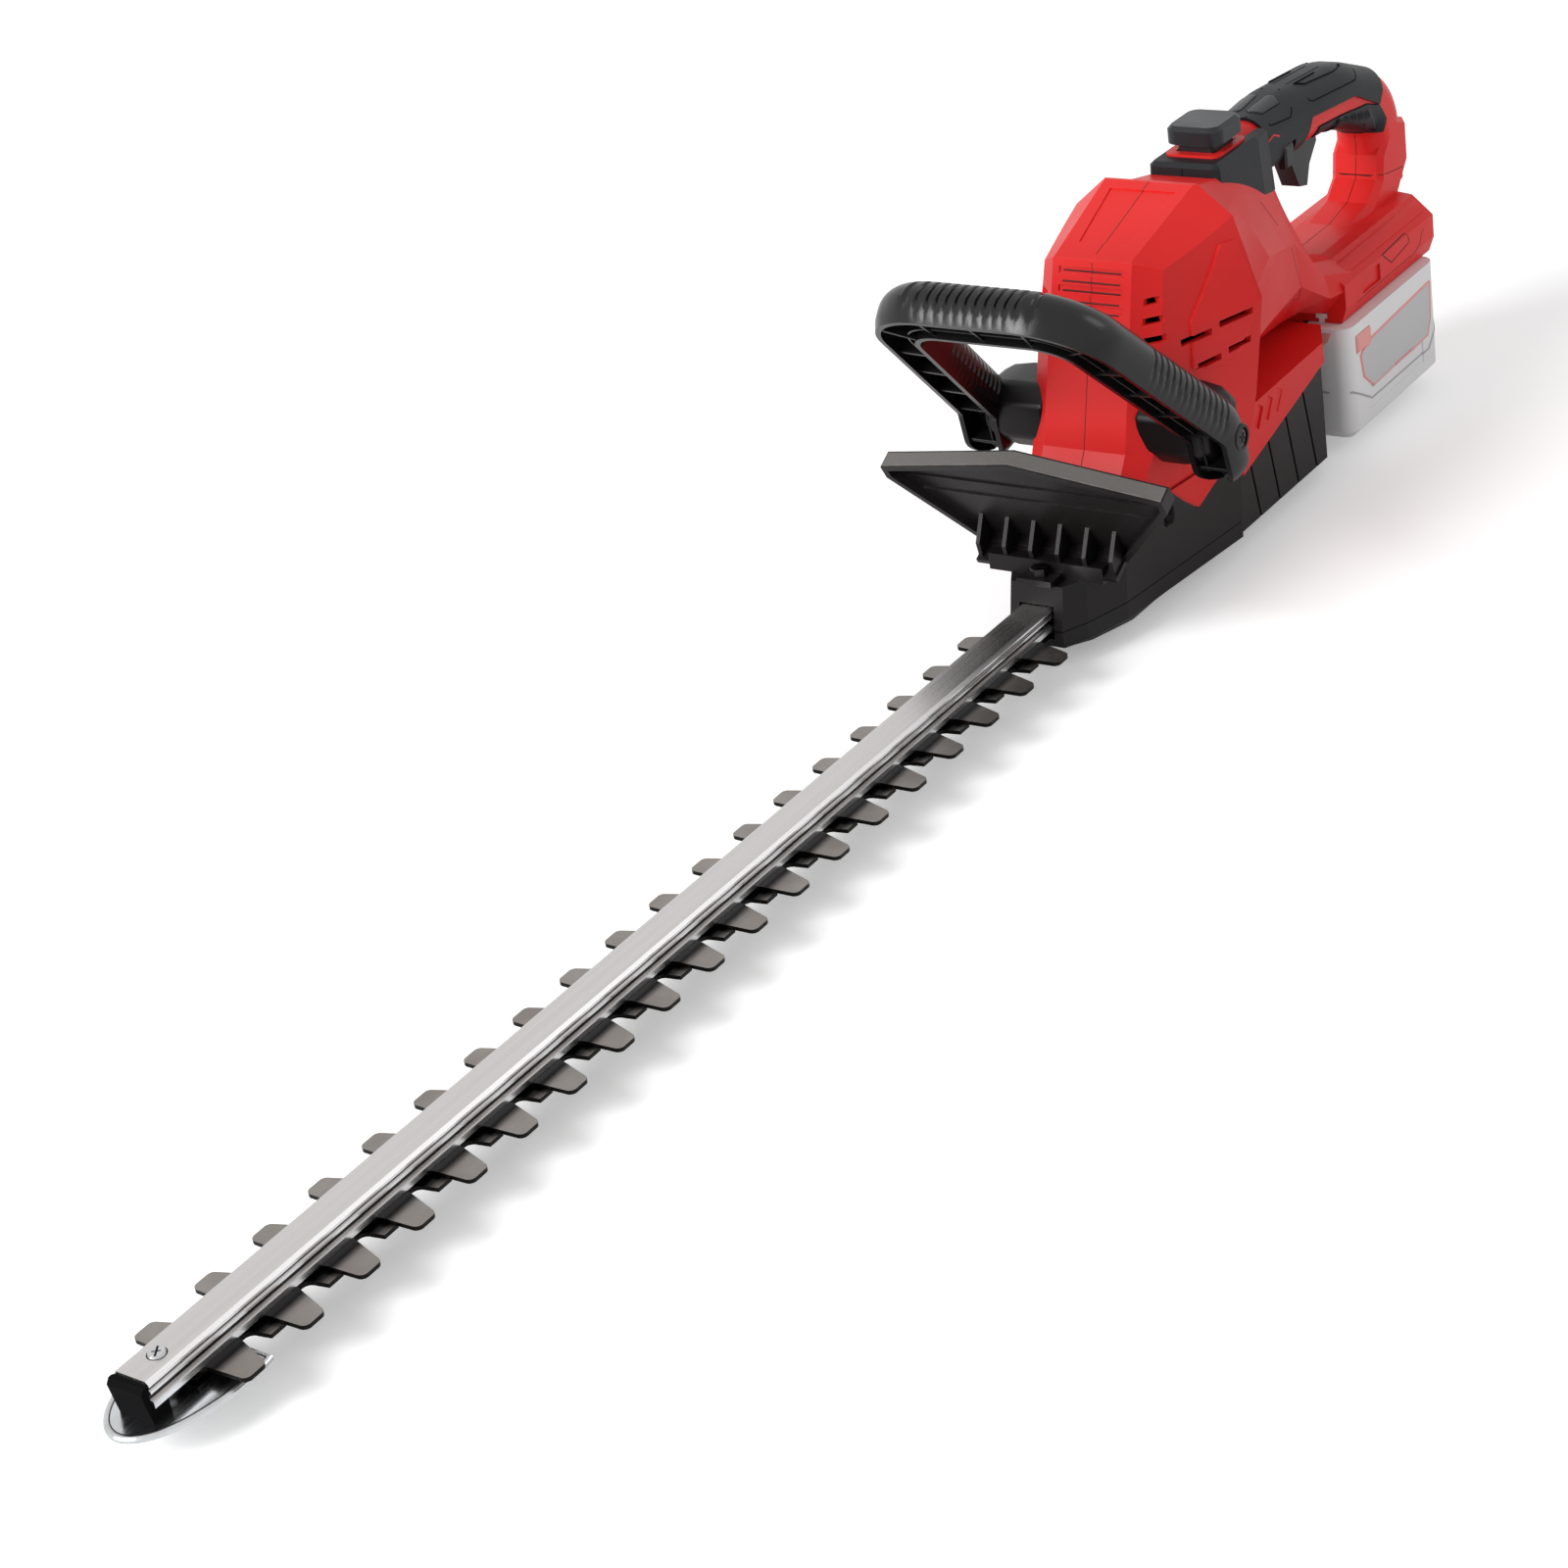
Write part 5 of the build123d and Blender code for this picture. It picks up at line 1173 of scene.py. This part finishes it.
def makeScrewTrim(setup):
    dark = skinOn("body", "dark_screw", trim["blackSeam"])
    # painted shade: the tip screw's slot and the ring round its head are dark strips
    bright = skinOn("body", "screw_steel", trim["blackSeam"])
    middle, low, high = boxInMillimetres("guard_screw")
    crossRecess("guardScrewCross", (middle.x, middle.y, high.z), (0, 0, 1), *setup["guard"], dark)
    middle, low, high = boxInMillimetres("tip_screw")
    reach, slotY = setup["slotReach"], setup["slotAside"]
    slot = [(middle.x - reach, -slotY, high.z), (middle.x + reach, slotY, high.z)]
    surfaceStrip(
        "tipScrewSlot", None, slot, bright, setup["slotWidth"], setup["slotLift"], facing=(0, 0, 1),
    )
    barTop = boxInMillimetres("guide_bar")[2].z
    radius, count = setup["ringRadius"], setup["ringPoints"]
    turns = [2 * math.pi * k / count for k in range(count)]
    ring = [(middle.x + radius * math.cos(turn), radius * math.sin(turn), barTop) for turn in turns]
    surfaceStrip(
        "tipScrewRing", None, ring, bright, setup["ringWidth"], setup["lineLift"],
        closed=True, facing=(0, 0, 1),
    )
    middle, low, high = boxInMillimetres("case_screws")
    for side, tag in sides:
        head = (middle.x, high.y if side > 0 else low.y, middle.z)
        crossRecess("caseScrewCross" + tag, head, (0, side, 0), *setup["case"], dark)


makeScrewTrim(screwTrim)

# skid plate: rolled bead along its edge, and a fine line of painted shade inside it
plateTrim = {
    "inset": 0.8, "width": 1.4, "lift": 0.35, "leastStep": 0.8,
    # the inner line is painted shade just inside the bead
    "lineInset": 1.1, "lineWidth": 0.45, "lineLift": 0.06,
    "level": 1e-5,   # metres below the plate's top that still count as its top
}


def makePlateBead(setup):
    low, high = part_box("tip_plate")
    rim = [v.co for v in nodes["tip_plate"].data.vertices if v.co.z > high.z - setup["level"]]
    middle = Vector(((low.x + high.x) / 2, 0, high.z))
    rim.sort(key=lambda p: math.atan2(p.y - middle.y, p.x - middle.x))
    spots = []
    for point in rim:
        spot = (point + (middle - point).normalized() * setup["inset"] / 1000) * 1000
        if not spots or (spots[-1] - spot).length > setup["leastStep"]:
            spots.append(spot)
    bead = skinOn("body", "skid_steel", finishes["screw_steel"])
    # painted shade: the dark line just inside the bead
    line = skinOn("body", "skid_steel", trim["blackSeam"])
    surfaceStrip(
        "plateBead", None, spots, bead, setup["width"], setup["lift"], closed=True, facing=(0, 0, 1),
    )
    inner = [spot + (middle * 1000 - spot).normalized() * setup["lineInset"] for spot in spots]
    surfaceStrip(
        "plateRimShade", None, inner, line, setup["lineWidth"], setup["lineLift"],
        closed=True, facing=(0, 0, 1),
    )


makePlateBead(plateTrim)
print("hedge trimmer: guard, screws and tip trim ready")


# camera, lights and floor

viewSetup = {
    "azimuth": 128.7, "elevation": 28.14, "roll": 9.45,   # degrees
    "distance": 1.338,
    "aim": (0.2604, 0.0, 0.0457),
    "lens": 74.9, "sensor": 36.0, "near": 0.05, "far": 50.0,
}


def makeCamera(setup):
    azimuth, elevation = math.radians(setup["azimuth"]), math.radians(setup["elevation"])
    level = math.cos(elevation)
    back = Vector((math.sin(azimuth) * level, -math.cos(azimuth) * level, math.sin(elevation)))
    right = (-back).cross(Vector((0, 0, 1))).normalized()
    up = right.cross(-back)
    turn = Matrix.Rotation(-math.radians(setup["roll"]), 3, back)
    right, up = turn @ right, turn @ up
    placed = Matrix((right, up, back)).transposed().to_4x4()
    placed.translation = Vector(setup["aim"]) + back * setup["distance"]
    data = bpy.data.cameras.new("camera")
    data.lens = setup["lens"]
    data.sensor_width = setup["sensor"]
    data.clip_start = setup["near"]
    data.clip_end = setup["far"]
    camera = addObject("camera", data)
    camera.matrix_world = placed
    bpy.context.scene.camera = camera


makeCamera(viewSetup)

lightSetup = {
    "worldFill": 0.50,
    "keyStrength": 1.5, "keyAngle": 24.0, "keyFrom": (1.0, -0.45, 0.80),
    "softboxes": [   # place, size, power in watts
        ((1.6, -0.4, 0.8), 0.9, 14.0),
        ((-0.9, 1.5, 1.2), 0.8, 4.0),
    ],
    "aim": (0.0, 0.0, 0.1),
}


def aimAt(item, target):
    item.rotation_euler = (Vector(target) - item.location).to_track_quat("-Z", "Y").to_euler()


def makeLights(setup):
    # the world is plain white where it is seen or mirrored, and weaker as a light
    world = bpy.data.worlds.new("studio")
    world.use_nodes = True
    tree = world.node_tree
    background = tree.nodes["Background"]
    path = addNode(tree, "ShaderNodeLightPath")
    seen = mathNode(tree, "MAXIMUM", path.outputs["Is Camera Ray"], path.outputs["Is Glossy Ray"])
    seen = mathNode(tree, "MAXIMUM", seen, path.outputs["Is Transmission Ray"])
    strength = rangeNode(tree, seen, 0.0, 1.0, setup["worldFill"], 1.0)
    tree.links.new(strength, background.inputs["Strength"])
    background.inputs["Color"].default_value = (1, 1, 1, 1)
    bpy.context.scene.world = world
    sun = bpy.data.lights.new("key", "SUN")
    sun.energy = setup["keyStrength"]
    sun.angle = math.radians(setup["keyAngle"])
    key = addObject("key", sun)
    key.location = setup["keyFrom"]
    aimAt(key, (0, 0, 0))
    for index, (place, size, power) in enumerate(setup["softboxes"]):
        data = bpy.data.lights.new("softbox%d" % index, "AREA")
        data.size = size
        data.energy = power
        box = addObject("softbox%d" % index, data)
        box.location = place
        aimAt(box, setup["aim"])


makeLights(lightSetup)

floorSetup = {
    "size": 14.0, "drop": 0.0002,
    "paper": (0.90, 0.90, 0.90, 1), "roughness": 0.9, "specular": 0.1, "glow": 0.3,
}


def makeFloor(setup):
    # white paper, a little brighter to the camera alone so that it keeps the shadow
    mesh = bpy.data.meshes.new("floor")
    half, level = setup["size"] / 2, cadLow[2] - setup["drop"]
    corners = [(-half, -half, level), (half, -half, level), (half, half, level), (-half, half, level)]
    mesh.from_pydata(corners, [], [(0, 1, 2, 3)])
    floor = addObject("floor", mesh)
    finish, tree, shader = newFinish("floorPaper")
    shader.inputs["Base Color"].default_value = setup["paper"]
    shader.inputs["Roughness"].default_value = setup["roughness"]
    shader.inputs["Specular IOR Level"].default_value = setup["specular"]
    path = addNode(tree, "ShaderNodeLightPath")
    shader.inputs["Emission Color"].default_value = (1, 1, 1, 1)
    glow = mathNode(tree, "MULTIPLY", path.outputs["Is Camera Ray"], setup["glow"])
    tree.links.new(glow, shader.inputs["Emission Strength"])
    mesh.materials.append(finish)


makeFloor(floorSetup)
bpy.context.scene.view_settings.view_transform = "Standard"
print("hedge trimmer: camera, lights and floor ready")
